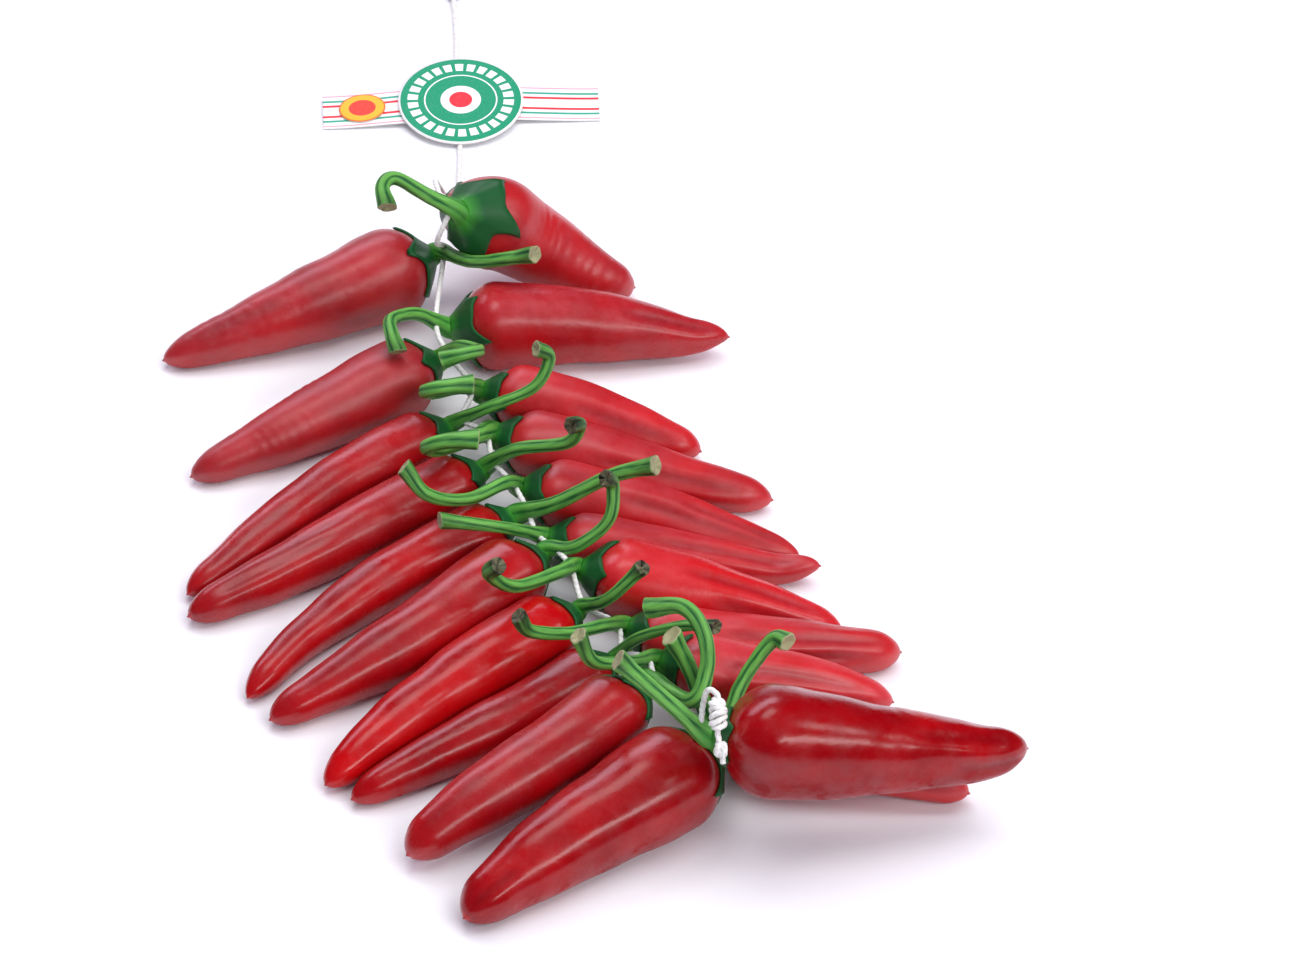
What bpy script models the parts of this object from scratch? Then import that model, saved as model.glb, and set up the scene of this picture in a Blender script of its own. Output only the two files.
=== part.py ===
"""A string of fresh red chillies, laid down on a flat surface.

Twenty-one ripe pods hang by their green stalks on one white twine.  The
twine runs through every stalk just above its calyx, is knotted at the
front end, and goes on past the last chilli, under a round card label with
a paper band, to a hanging loop.

+Y runs along the twine from the front knot to the hanging loop, and Z is
up.  The origin is at the middle of the bottom of the bounding box.  The
tables are in millimetres and degrees, the meshes in metres.
"""

import math
from dataclasses import dataclass

import bmesh
import bpy
from mathutils import Vector

MM = 0.001

# Shift from the setting-out point to the middle of the bounding box.
SHIFT = Vector((49.3, 37.7, 0.0))

# Pods
POD_SIDES = 8
SHOULDER_PER_WIDTH = 0.42       # length of the domed shoulder over the width
TIP_SHARE = 0.10                # share of the length that rounds off to the tip
LOBE_DEPTH = 0.025              # three faint lobes round the pod
AXIS_OVER_RADIUS = 0.924        # the underside is pressed a little flat
SWERVE_PEAK = 6.75              # t (1 - t)^2 peaks at 1 over this
CALYX_STATION = 0.17            # share of the shoulder that the calyx covers
SHOULDER_STATIONS = (CALYX_STATION, 0.5, 1.0)
BODY_STATIONS = (0.28, 0.55, 0.80, 1.0)
TIP_STATIONS = (0.65,)

# Stalks
CALYX_GAP = 0.6                 # clear of the pod, along its axis
CALYX_THICKNESS = 1.1
FLARE_REACH = 2.4               # calyx top above the seat
LEAD_REACH = 7.0                # the stalk leaves straight out of the pod
LEAD_RISE = 2.5
STALK_PROFILE = (               # share of the length, radius factor
    (0.00, 1.40), (0.14, 1.08), (0.28, 0.84), (0.60, 0.76), (0.88, 0.84), (1.00, 1.06))
CUT_DISH = 0.6                  # the cut end is dished
THREAD_SHARE = 0.16             # the twine goes through here

# Twine
TWINE_DIAMETER = 2.2
BORE_CLEARANCE = 0.55
BORE_SIDES = 6
TWINE_STEP = 9.4
HANGING_STEP = 7.2
LOOP_DIAMETER = 30.0
LOOP_SLIM = 0.7                 # the loop's width over its length
LOOP_OPENING = 14.0             # degrees left open at the knot, each side
LOOP_STEPS = 16
TWINE_GAP = 0.4                 # between the ends of two twines, and twine and knot
KNOT_SIDES = 8
KNOT_HOLE_GAP = 1.2             # the twine bends inside its knots
TAIL_KNOT_AT = (4.0, -14.9, 2.3)        # from the first thread point
TAIL_END = (4.2, -17.6, -1.8)
END_KNOT_AT = (4.7, -7.5, 12.4)
END_KNOT_MOUTHS = ((3.7, -11.7, 7.3), (5.7, -3.5, 17.2))
KNOT_TO_THREAD = ((3.2, 0.4, 17.0), (1.8, 1.6, 9.4))
FRONT_BEND = (-1, 12, -8)       # round the first calyx on the way to the second stalk
LAST_BEND = (-6, -2, -14)       # round the last calyx, from its thread point
LAST_REACH = (-3, 7, 2)         # the threaded twine ends just past the last stalk
TWINE_REST = 0.05               # the twine's underside over the surface

# Label
CARD_DIAMETER = 51.0
CARD_THICKNESS = 0.8
CARD_SIDES = 28
BAND_LENGTH = 112.0
BAND_WIDTH = 20.0
BAND_THICKNESS = 0.5
BAND_SEGMENTS = 12
BAND_CROWN = 4.4                # height of the band's underside over the twine
BAND_END = 1.5                  # and at its two ends
ROUNDEL_LENGTH = 19.0
ROUNDEL_WIDTH = 16.0
ROUNDEL_THICKNESS = 0.4
LABEL_CENTRE = (-17.0, 249.0)
LABEL_TURN = -11.0              # the band's turn about Z
LABEL_TILT = 6.0                # its far edge is propped on a knot of the twine
ROUNDEL_ALONG = -40.0           # from the label's centre, along the band
ROUNDEL_SIDES = 20
PAPER_GAP = 0.35

# Surface colours (linear), roughness
POD_RED = ((0.52, 0.006, 0.010), 0.22)
STALK_GREEN = ((0.06, 0.25, 0.04), 0.45)
TWINE_WHITE = ((0.85, 0.84, 0.80), 0.85)
CARD_GREEN = ((0.01, 0.32, 0.15), 0.5)
BAND_PAPER = ((0.88, 0.87, 0.86), 0.6)
ROUNDEL_YELLOW = ((0.90, 0.48, 0.02), 0.5)


@dataclass(frozen=True)
class Chilli:
    """One chilli: where its stalk joins it, how it lies, and its own shape."""

    name: str
    seat: tuple          # x, y of the stalk's seat
    heading: float       # direction from the seat to the tip
    length: float
    width: float
    sway: float          # sideways bow at mid length, positive to the left
    taper: float         # higher keeps the pod full for longer
    blunt: float         # radius at the tip over the shoulder radius
    lifts: tuple         # height of the underside at the seat and at the tip
    stalk: tuple         # points that the stalk passes, from the seat
    stalk_width: float
    swerve: float = 0.0  # sideways bow near the seat
    dive: float = 1.0    # higher brings the underside down sooner


CHILLIES = (
    Chilli("r01", (-22, -194), -7, 108, 43, -4.0, 1.5, 0.32, (29, 22),
           ((-18, 7, 15), (-34, 15, 31)), 7.4),
    Chilli("l01", (-22, -172), -155, 109, 39, -1.0, 1.9, 0.38, (0, 0),
           ((17, 20, 14), (30, 26, 28), (35, 22, 30)), 6.8),
    Chilli("r02", (-9, -158), -27, 86, 28, 0.5, 1.8, 0.36, (0, 0),
           ((-8, 8, 10), (-12, 14, 24), (-18, 18, 38)), 8.0),
    Chilli("l02", (-40, -138), -154, 104, 28, 2.0, 3.0, 0.48, (10, 2),
           ((16, -18, 10), (23, -13, 19), (24, -5, 29), (19, 4, 35), (8, 13, 29)), 7.4),
    Chilli("r03", (-23, -124), -18, 80, 26, 0.0, 2.0, 0.36, (10, 5),
           ((-17, -8, 12), (-33, -17, 24), (-38, -16, 36)), 6.4),
    Chilli("l03", (-44, -108), -159, 109, 24, 3.0, 2.2, 0.42, (0, 0),
           ((12, -5, 17), (25, -16, 29), (35, -25, 34)), 5.4),
    Chilli("r04", (-27, -93), -16, 95, 26, -6.5, 2.8, 0.46, (0, 0),
           ((-14, -6, 12), (-31, -16, 20), (-45, -18, 26), (-49, -17, 33)), 6.2),
    Chilli("l04", (-51, -81), -151, 117, 29, -3.0, 2.1, 0.38, (0, 0),
           ((13, -9, 15), (25, -12, 30)), 6.0),
    Chilli("r05", (-37, -61), -25, 93, 30, 0.0, 1.8, 0.28, (2, 0),
           ((-14, -8, 11), (-33, -18, 16), (-43, -20, 26), (-40, -22, 31)), 6.4),
    Chilli("l05", (-56, -48), -155, 121, 31, 4.0, 2.0, 0.36, (0, 0),
           ((15, -6, 10), (27, -6, 20), (30, 0, 31), (27, -1, 36)), 6.2),
    Chilli("r06", (-43, -34), -21, 97, 22, -0.4, 1.8, 0.34, (0, 0),
           ((-22, -7, 17), (-46, -5, 24)), 6.2),
    Chilli("l06", (-62, -21), -152, 126, 24, -5.5, 2.0, 0.38, (0, 0),
           ((20, -8, 14), (39, -12, 26), (54, -19, 34)), 7.2),
    Chilli("r07", (-46, -6), -29, 102, 26, 1.5, 1.8, 0.28, (0, 0),
           ((-13, -6, 12), (-29, -14, 14), (-44, -15, 20), (-51, -8, 29)), 6.4),
    Chilli("l07", (-67, 8), -159, 125, 26, 2.0, 2.2, 0.46, (0, 0),
           ((16, -8, 17), (33, -18, 25), (37, -20, 34), (33, -23, 37)), 6.4),
    Chilli("r08", (-49, 26), -29, 103, 26, -2.6, 2.1, 0.42, (0, 0),
           ((-14, -9, 12), (-30, -20, 18), (-36, -25, 24), (-30, -29, 29), (-18, -31, 29)), 7.6),
    Chilli("l08", (-73, 37), -151, 124, 24, -4.0, 2.2, 0.40, (0, 0),
           ((17, -6, 14), (35, -9, 23), (42, -5, 33), (37, -5, 38)), 5.8),
    Chilli("r09", (-48, 53), -31, 82, 26, 1.0, 2.2, 0.38, (0, 0),
           ((-14, -8, 14), (-26, -16, 20), (-31, -22, 26), (-26, -26, 30), (-14, -27, 30)), 7.2),
    Chilli("l09", (-69, 73), -163, 103, 32, 2.5, 1.9, 0.30, (0, 0),
           ((10, -9, 15), (15, -21, 22), (9, -28, 27), (0, -26, 24)), 6.8),
    Chilli("r10", (-52, 92), -13, 103, 34, 2.0, 2.1, 0.22, (0, 3),
           ((-18, -3, 13), (-30, -14, 21), (-32, -26, 22), (-31, -31, 19)), 6.6),
    Chilli("l10", (-58, 131), -171, 108, 38, 3.0, 1.5, 0.26, (3, 0),
           ((15, -25, 16), (35, -41, 28)), 6.6),
    Chilli("r11", (-45, 119), -5, 67, 40, 0.0, 1.5, 0.30, (32.5, 0),
           ((-13, 1, 11), (-24, 7, 17), (-30, 3, 17), (-30, -5, 13)), 7.2,
           swerve=12.0, dive=2.3),
)

# Points that the twine passes after the last stalk, to the loop's knot.
HANGING_ROUTE = (
    (-52, 134, 56), (-47, 147, 41), (-42, 158, 27), (-38, 169, 17), (-34, 181, 9),
    (-31, 192, 3.8), (-28, 204, 1.4), (-24, 220, 1.2), (-20, 238, 1.2), (-17, 254, 1.8),
    (-14.5, 268, 3.4), (-11.5, 282, 1.8), (-8, 298, 1.2), (-5, 314, 1.6), (-3, 327, 3.2))
CARD_KNOT_POINT = 11            # the route's point that the card's knot sits on

# Knots: outer diameter and length
END_KNOT = (8.4, 9.0)
TAIL_KNOT = (6.0, 5.0)
CARD_KNOT = (6.8, 6.0)
LOOP_KNOT = (6.4, 8.0)


def clear_scene():
    """Start from an empty scene."""
    for item in list(bpy.data.objects):
        bpy.data.objects.remove(item, do_unlink=True)


def make_material(name, finish):
    """A Principled material from a base colour and a roughness."""
    colour, roughness = finish
    material = bpy.data.materials.new(name)
    material.use_nodes = True
    shader = material.node_tree.nodes["Principled BSDF"]
    shader.inputs["Base Color"].default_value = (*colour, 1.0)
    shader.inputs["Roughness"].default_value = roughness
    return material


def add_object(name, data, material):
    """Link a mesh or curve to the scene under its own name."""
    item = bpy.data.objects.new(name, data)
    item.data.materials.append(material)
    bpy.context.collection.objects.link(item)
    return item


def lofted_mesh(name, rings, first_pole, last_pole):
    """A closed mesh over rings of points, in millimetres, with a pole at each end."""
    mesh_builder = bmesh.new()

    def place(point):
        return mesh_builder.verts.new((Vector(point) + SHIFT) * MM)

    loops = [[place(point) for point in ring] for ring in rings]
    sides = len(loops[0])
    start = place(first_pole)
    end = place(last_pole)
    for k in range(sides):
        n = (k + 1) % sides
        mesh_builder.faces.new((start, loops[0][n], loops[0][k]))
        mesh_builder.faces.new((end, loops[-1][k], loops[-1][n]))
        for ring, following in zip(loops, loops[1:]):
            mesh_builder.faces.new((ring[k], ring[n], following[n], following[k]))
    bmesh.ops.recalc_face_normals(mesh_builder, faces=mesh_builder.faces)
    mesh = bpy.data.meshes.new(name)
    mesh_builder.to_mesh(mesh)
    mesh_builder.free()
    mesh.shade_smooth()
    mesh.set_sharp_from_angle(angle=math.radians(50))
    return mesh


def smooth_path(points, per_span=8):
    """A Catmull-Rom curve through the points, as a fine polyline."""
    guides = [Vector(p) for p in points]
    guides = [guides[0] * 2 - guides[1]] + guides + [guides[-1] * 2 - guides[-2]]
    path = []
    for a, b, c, d in zip(guides, guides[1:], guides[2:], guides[3:]):
        for step in range(per_span):
            t = step / per_span
            path.append(0.5 * (2 * b + (c - a) * t + (2 * a - 5 * b + 4 * c - d) * t ** 2
                               + (3 * b - a - 3 * c + d) * t ** 3))
    path.append(guides[-2])
    return path


def path_length(path):
    """Length of a polyline."""
    return sum((b - a).length for a, b in zip(path, path[1:]))


def point_along(path, distance):
    """The point of a polyline at a distance from its start."""
    for a, b in zip(path, path[1:]):
        span = (b - a).length
        if distance <= span:
            return a.lerp(b, distance / span)
        distance -= span
    return path[-1].copy()


def resampled(path, step):
    """The same polyline with evenly spaced points about a step apart."""
    total = path_length(path)
    count = max(2, round(total / step))
    return [point_along(path, total * i / count) for i in range(count + 1)]


def swept_rings(path, radii, side, sides, start=None):
    """Round rings along a path, carried from one to the next without twist."""
    rings = []
    for i, (centre, radius) in enumerate(zip(path, radii)):
        before = path[max(i - 1, 0)]
        after = path[min(i + 1, len(path) - 1)]
        tangent = (after - before).normalized()
        if i == 0 and start is not None:
            tangent = start
        side = (side - tangent * side.dot(tangent)).normalized()
        up = tangent.cross(side)
        rings.append([centre + (side * math.cos(a) + up * math.sin(a)) * radius
                      for a in ring_angles(sides)])
    return rings


def ring_angles(sides):
    """Angles round a ring; the first and the last lie either side of the bottom."""
    return [math.radians((k + 0.5) * 360 / sides - 90) for k in range(sides)]


# ---- pods -------------------------------------------------------------

def shoulder_share(chilli):
    """Share of the length that the domed shoulder takes."""
    return SHOULDER_PER_WIDTH * chilli.width / chilli.length


def full_radius(chilli, t):
    """Radius of the tapering body, without its rounded ends."""
    return chilli.width / 2 * (1 - (1 - chilli.blunt) * t ** chilli.taper)


def pod_radius(chilli, t):
    """Radius of the pod at a share of its length."""
    dome = min(t / shoulder_share(chilli), 1.0)
    shoulder = math.sqrt(1 - (1 - dome) ** 2)
    end = max((t - (1 - TIP_SHARE)) / TIP_SHARE, 0.0)
    return full_radius(chilli, t) * shoulder * math.sqrt(max(1 - end ** 2, 0.0))


def pod_lift(chilli, t):
    """Height of the underside at a share of the length."""
    low, high = chilli.lifts
    return high + (low - high) * (1 - t) ** chilli.dive


def pod_centre(chilli, t):
    """Centre of the pod at a share of its length."""
    heading = math.radians(chilli.heading)
    ahead = Vector((math.cos(heading), math.sin(heading), 0))
    left = Vector((-ahead.y, ahead.x, 0))
    centre = Vector((*chilli.seat, 0)) + ahead * chilli.length * t
    centre += left * chilli.sway * math.sin(math.pi * t)
    centre += left * chilli.swerve * SWERVE_PEAK * t * (1 - t) ** 2
    body = max(t, shoulder_share(chilli))
    centre.z = AXIS_OVER_RADIUS * full_radius(chilli, body) + pod_lift(chilli, t)
    return centre


def pod_frame(chilli, t):
    """Left and up directions across the pod's axis."""
    near = pod_centre(chilli, max(t - 0.03, 0.0))
    far = pod_centre(chilli, min(t + 0.03, 1.0))
    tangent = (far - near).normalized()
    left = Vector((-tangent.y, tangent.x, 0)).normalized()
    return left, tangent.cross(left)


def pod_ring(chilli, t):
    """Points round the pod at a share of its length."""
    centre = pod_centre(chilli, t)
    left, up = pod_frame(chilli, t)
    radius = pod_radius(chilli, t)
    phase = math.radians(chilli.heading * 3)
    ring = []
    for angle in ring_angles(POD_SIDES):
        lobed = radius * (1 + LOBE_DEPTH * math.cos(3 * angle + phase))
        ring.append(centre + (left * math.cos(angle) + up * math.sin(angle)) * lobed)
    floor = pod_lift(chilli, t)
    if shoulder_share(chilli) <= t <= 1 - TIP_SHARE:
        ring[0].z = ring[-1].z = floor
    for point in ring:
        point.z = max(point.z, floor)
    return ring


def pod_stations(chilli):
    """Shares of the length at which the pod's rings stand."""
    shoulder = shoulder_share(chilli)
    body = 1 - TIP_SHARE - shoulder
    stations = [s * shoulder for s in SHOULDER_STATIONS]
    stations += [shoulder + s * body for s in BODY_STATIONS]
    stations += [1 - TIP_SHARE + s * TIP_SHARE for s in TIP_STATIONS]
    return stations


def make_pod(chilli, material):
    """The red pod."""
    rings = [pod_ring(chilli, t) for t in pod_stations(chilli)]
    name = "pod_" + chilli.name
    mesh = lofted_mesh(name, rings, pod_centre(chilli, 0.0), pod_centre(chilli, 1.0))
    return add_object(name, mesh, material)


# ---- stalks -----------------------------------------------------------

def outward(chilli):
    """Direction out of the pod at the stalk's seat."""
    return (pod_centre(chilli, 0.0) - pod_centre(chilli, 0.05)).normalized()


def stalk_path(chilli):
    """The stalk's centreline, from the calyx top to the cut end."""
    seat = pod_centre(chilli, 0.0)
    out = outward(chilli)
    points = [seat + out * FLARE_REACH, seat + out * LEAD_REACH + Vector((0, 0, LEAD_RISE))]
    points += [seat + Vector(p) for p in chilli.stalk]
    return smooth_path(points)


def stalk_radius(chilli, share):
    """The stalk's radius: flared at the calyx and at the cut end."""
    for (a, low), (b, high) in zip(STALK_PROFILE, STALK_PROFILE[1:]):
        if share <= b:
            return chilli.stalk_width / 2 * (low + (high - low) * (share - a) / (b - a))
    return chilli.stalk_width / 2 * STALK_PROFILE[-1][1]


def thread_point(chilli):
    """Where the twine goes through the stalk."""
    path = stalk_path(chilli)
    return point_along(path, THREAD_SHARE * path_length(path))


def make_stalk(chilli, material):
    """The green calyx and its stalk, one piece."""
    seat = pod_centre(chilli, 0.0)
    out = outward(chilli)
    shoulder = shoulder_share(chilli)
    lift = out * CALYX_GAP
    inner = [p + lift for p in pod_ring(chilli, CALYX_STATION * shoulder)]
    edge = [p + out * CALYX_THICKNESS for p in inner]
    path = stalk_path(chilli)
    total = path_length(path)
    spans = len(chilli.stalk) + 4
    centres = [point_along(path, total * i / spans) for i in range(spans + 1)]
    radii = [stalk_radius(chilli, i / spans) for i in range(spans + 1)]
    left, _ = pod_frame(chilli, 0.0)
    stem = swept_rings(centres, radii, left, POD_SIDES, out)
    # A ring runs the same way round as the pod's own, seen from the pod.
    stem = [list(reversed(ring)) for ring in stem]
    turn = best_turn(edge, stem[0])
    stem = [ring[turn:] + ring[:turn] for ring in stem]
    direction = (centres[-1] - centres[-2]).normalized()
    name = "stalk_" + chilli.name
    mesh = lofted_mesh(name, [inner, edge] + stem, seat + lift,
                       centres[-1] - direction * CUT_DISH)
    return add_object(name, mesh, material)


def best_turn(ring, other):
    """How far to turn the second ring so that its points face the first one's."""
    centre = sum(ring, Vector()) / len(ring)
    other_centre = sum(other, Vector()) / len(other)

    def mismatch(turn):
        turned = other[turn:] + other[:turn]
        return -sum((a - centre).normalized().dot((b - other_centre).normalized())
                    for a, b in zip(ring, turned))

    return min(range(len(ring)), key=mismatch)


# ---- twine ------------------------------------------------------------

def thread_points():
    """Where the twine goes through the stalks, from the front one to the last."""
    return [thread_point(chilli) for chilli in CHILLIES]


def threaded_route():
    """The twine's way from its front tail, through the end knot and every stalk."""
    points = thread_points()
    bottom, top = END_KNOT_MOUTHS
    front = [TAIL_END, TAIL_KNOT_AT, bottom, END_KNOT_AT, top, *KNOT_TO_THREAD]
    bend = points[0] + Vector(FRONT_BEND)
    last = points[-1]
    return ([points[0] + Vector(p) for p in front] + points[:1] + [bend] + points[1:-1]
            + [last + Vector(LAST_BEND), last, last + Vector(LAST_REACH)])


def hanging_route():
    """The free twine's way from the last stalk, along the surface, to its loop's knot."""
    end = thread_points()[-1] + Vector(LAST_REACH)
    start = end + (Vector(HANGING_ROUTE[0]) - end).normalized() * 2 * TWINE_GAP
    return [start] + [Vector(p) for p in HANGING_ROUTE]


def resting_path(points, step):
    """A smooth path whose twine never reaches below the surface."""
    path = resampled(smooth_path(points), step)
    for point in path:
        point.z = max(point.z, TWINE_DIAMETER / 2 + TWINE_REST)
    return path


def make_twine(name, path, material):
    """A round twine along a path, as a bevelled curve."""
    curve = bpy.data.curves.new(name, "CURVE")
    curve.dimensions = "3D"
    curve.bevel_depth = TWINE_DIAMETER / 2 * MM
    curve.bevel_resolution = 2
    curve.use_fill_caps = True
    curve.render_resolution_u = 0
    spline = curve.splines.new("POLY")
    spline.points.add(len(path) - 1)
    for knot, point in zip(spline.points, path):
        knot.co = (*((Vector(point) + SHIFT) * MM), 1.0)
    return add_object(name, curve, material)


def make_bore_guide(path, material):
    """The hole that the twine makes through the stalks, as a cutter."""
    radius = TWINE_DIAMETER / 2 + BORE_CLEARANCE
    rings = swept_rings(path, [radius] * len(path), Vector((1, 0, 0)), BORE_SIDES)
    guide = add_object("bore_guide", lofted_mesh("bore_guide", rings, path[0], path[-1]), material)
    guide.hide_render = True
    guide.display_type = "WIRE"
    return guide


def make_knot(name, centre, axis, size, material):
    """A knot wound round the twine: a barrel with a hole for the twine."""
    diameter, length = size
    axis = Vector(axis).normalized()
    side = axis.orthogonal().normalized()
    up = axis.cross(side)
    hole = TWINE_DIAMETER / 2 + KNOT_HOLE_GAP
    middle = (diameter / 2 + hole) / 2
    profile = ((hole, -0.30), (middle, -0.5), (diameter / 2, -0.22), (diameter / 2, 0.22),
               (middle, 0.5), (hole, 0.30))
    mesh_builder = bmesh.new()
    loops = []
    for radius, along in profile:
        loops.append([mesh_builder.verts.new(
            (Vector(centre) + axis * along * length + SHIFT
             + (side * math.cos(a) + up * math.sin(a)) * radius) * MM)
            for a in ring_angles(KNOT_SIDES)])
    for ring, following in zip(loops, loops[1:] + loops[:1]):
        for k in range(KNOT_SIDES):
            n = (k + 1) % KNOT_SIDES
            mesh_builder.faces.new((ring[k], ring[n], following[n], following[k]))
    bmesh.ops.recalc_face_normals(mesh_builder, faces=mesh_builder.faces)
    mesh = bpy.data.meshes.new(name)
    mesh_builder.to_mesh(mesh)
    mesh_builder.free()
    mesh.shade_smooth()
    mesh.set_sharp_from_angle(angle=math.radians(50))
    return add_object(name, mesh, material)


def make_front_end(material):
    """The end knot and the knot on the tail below it."""
    start = thread_points()[0]
    bottom, top = (Vector(p) for p in END_KNOT_MOUTHS)
    make_knot("end_knot", start + Vector(END_KNOT_AT), top - bottom, END_KNOT, material)
    make_knot("tail_knot", start + Vector(TAIL_KNOT_AT), bottom - Vector(TAIL_END), TAIL_KNOT,
              material)


def make_hanging_end(material):
    """The free twine past the last chilli, its card knot and its loop."""
    route = hanging_route()
    make_twine("hanging_twine", resting_path(route, HANGING_STEP), material)
    k = CARD_KNOT_POINT
    make_knot("card_knot", route[k], route[k + 1] - route[k - 1], CARD_KNOT, material)
    end = route[-1]
    ahead = (route[-1] - route[-2]).normalized()
    make_knot("loop_knot", end, ahead, LOOP_KNOT, material)
    ahead = Vector((ahead.x, ahead.y, 0)).normalized()
    left = Vector((-ahead.y, ahead.x, 0))
    start = end + ahead * (LOOP_KNOT[1] / 2 + TWINE_DIAMETER / 2 + TWINE_GAP)
    loop = []
    for step in range(LOOP_STEPS + 1):
        angle = math.radians(LOOP_OPENING + (360 - 2 * LOOP_OPENING) * step / LOOP_STEPS)
        reach = LOOP_DIAMETER / 2 * (1 - math.cos(angle))
        point = start + ahead * reach + left * LOOP_DIAMETER / 2 * LOOP_SLIM * math.sin(angle)
        point.z = TWINE_DIAMETER / 2 + (start.z - TWINE_DIAMETER / 2) * math.cos(angle / 2) ** 8
        loop.append(point)
    make_twine("hanging_loop", loop, material)


# ---- label ------------------------------------------------------------

def label_point(along, across, height):
    """A point of the tilted label from its place along and across the band."""
    turn = math.radians(LABEL_TURN)
    direction = Vector((math.cos(turn), math.sin(turn), 0))
    sideways = Vector((-direction.y, direction.x, 0))
    point = Vector((*LABEL_CENTRE, height)) + direction * along + sideways * across
    point.z += across * math.tan(math.radians(LABEL_TILT))
    return point


def band_height(along):
    """Height of the band's underside: arched over the twine, down at both ends."""
    share = math.cos(math.pi / 2 * along / (BAND_LENGTH / 2 + 1))
    return BAND_END + (BAND_CROWN - BAND_END) * share ** 2


def make_band(material):
    """The paper band under the card."""
    rings = []
    for i in range(BAND_SEGMENTS + 1):
        along = BAND_LENGTH * (i / BAND_SEGMENTS - 0.5)
        low = band_height(along)
        high = low + BAND_THICKNESS
        half = BAND_WIDTH / 2
        rings.append([label_point(along, -half, low), label_point(along, half, low),
                      label_point(along, half, high), label_point(along, -half, high)])
    poles = [sum(ring, Vector()) / 4 for ring in (rings[0], rings[-1])]
    return add_object("label_band", lofted_mesh("label_band", rings, *poles), material)


def make_card(material):
    """The round card on the band."""
    underside = BAND_CROWN + BAND_THICKNESS + PAPER_GAP
    rings = []
    for height in (underside, underside + CARD_THICKNESS):
        rings.append([label_point(CARD_DIAMETER / 2 * math.cos(a),
                                  CARD_DIAMETER / 2 * math.sin(a), height)
                      for a in ring_angles(CARD_SIDES)])
    poles = [label_point(0, 0, height) for height in (underside, underside + CARD_THICKNESS)]
    return add_object("label_card", lofted_mesh("label_card", rings, *poles), material)


def make_roundel(material):
    """The oval sticker on the band's left end."""
    rings = []
    poles = []
    for rise in (PAPER_GAP, PAPER_GAP + ROUNDEL_THICKNESS):
        ring = []
        for a in ring_angles(ROUNDEL_SIDES):
            along = ROUNDEL_ALONG + ROUNDEL_LENGTH / 2 * math.cos(a)
            height = roundel_height(along) + rise
            ring.append(label_point(along, ROUNDEL_WIDTH / 2 * math.sin(a), height))
        rings.append(ring)
        poles.append(label_point(ROUNDEL_ALONG, 0, roundel_height(ROUNDEL_ALONG) + rise))
    return add_object("label_roundel", lofted_mesh("label_roundel", rings, *poles), material)


def roundel_height(along):
    """Top of the band under the stiff, flat sticker."""
    ends = [ROUNDEL_ALONG - ROUNDEL_LENGTH / 2, ROUNDEL_ALONG + ROUNDEL_LENGTH / 2]
    low, high = (band_height(end) + BAND_THICKNESS for end in ends)
    return low + (high - low) * (along - ends[0]) / ROUNDEL_LENGTH


def main():
    """Build the whole string of chillies."""
    clear_scene()
    red = make_material("chilli_red", POD_RED)
    green = make_material("stalk_green", STALK_GREEN)
    white = make_material("twine_white", TWINE_WHITE)
    route = resampled(smooth_path(threaded_route()), TWINE_STEP)
    guide = make_bore_guide(route, white)
    for chilli in CHILLIES:
        make_pod(chilli, red)
        stalk = make_stalk(chilli, green)
        bore = stalk.modifiers.new("bore", "BOOLEAN")
        bore.operation = "DIFFERENCE"
        bore.object = guide
    make_twine("twine", route, white)
    make_front_end(white)
    make_hanging_end(white)
    make_band(make_material("band_paper", BAND_PAPER))
    make_card(make_material("card_green", CARD_GREEN))
    make_roundel(make_material("roundel_yellow", ROUNDEL_YELLOW))


main()
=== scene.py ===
"""Looks for a string of fresh red chillies lying on a pale surface.

Twenty-one waxy pods hang by ribbed green stalks on one white cotton twine.
Past the last chilli the twine runs free under a paper band with a printed
round card and ends in a knotted loop.  The tables below are in millimetres
and degrees from the setting-out point, as the solid model's are; every mesh
is in metres in the row frame.
"""

import logging
import math
from dataclasses import dataclass
from dataclasses import field
from enum import Enum

import bpy
import numpy as np
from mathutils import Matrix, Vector
from mathutils import noise
from mathutils.bvhtree import BVHTree


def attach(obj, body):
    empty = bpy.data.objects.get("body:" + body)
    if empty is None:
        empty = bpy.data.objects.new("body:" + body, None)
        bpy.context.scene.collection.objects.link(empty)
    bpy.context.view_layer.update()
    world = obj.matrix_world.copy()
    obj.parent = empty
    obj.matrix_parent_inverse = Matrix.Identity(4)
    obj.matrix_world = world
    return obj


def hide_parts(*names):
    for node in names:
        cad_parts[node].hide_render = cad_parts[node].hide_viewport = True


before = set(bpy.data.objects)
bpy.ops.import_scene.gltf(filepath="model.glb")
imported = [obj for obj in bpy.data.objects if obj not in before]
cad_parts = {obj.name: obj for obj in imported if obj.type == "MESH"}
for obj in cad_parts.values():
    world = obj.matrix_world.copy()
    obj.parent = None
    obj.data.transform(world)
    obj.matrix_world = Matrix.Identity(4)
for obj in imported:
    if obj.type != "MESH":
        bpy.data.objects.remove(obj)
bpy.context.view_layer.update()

LOG = logging.getLogger("chillies")
MM = 0.001
BODY = "root"

# From the setting-out point to the middle of the bounding box.
SHIFT = np.array((49.3, 37.7, 0.0))
UP = np.array((0.0, 0.0, 1.0))


class CutEnd(Enum):
    """How the cut end of a stalk has dried: the share of it that has gone black."""

    PALE = 0.1
    BROWN = 0.5
    BLACK = 0.95


@dataclass(frozen=True)
class Crease:
    """A lengthwise fold in a pod's skin."""

    angle: float            # round the pod, from its left side over the top
    drift: float            # how far the fold turns round the pod by its end
    start: float            # shares of the pod's length
    end: float
    depth: float
    width: float


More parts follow.
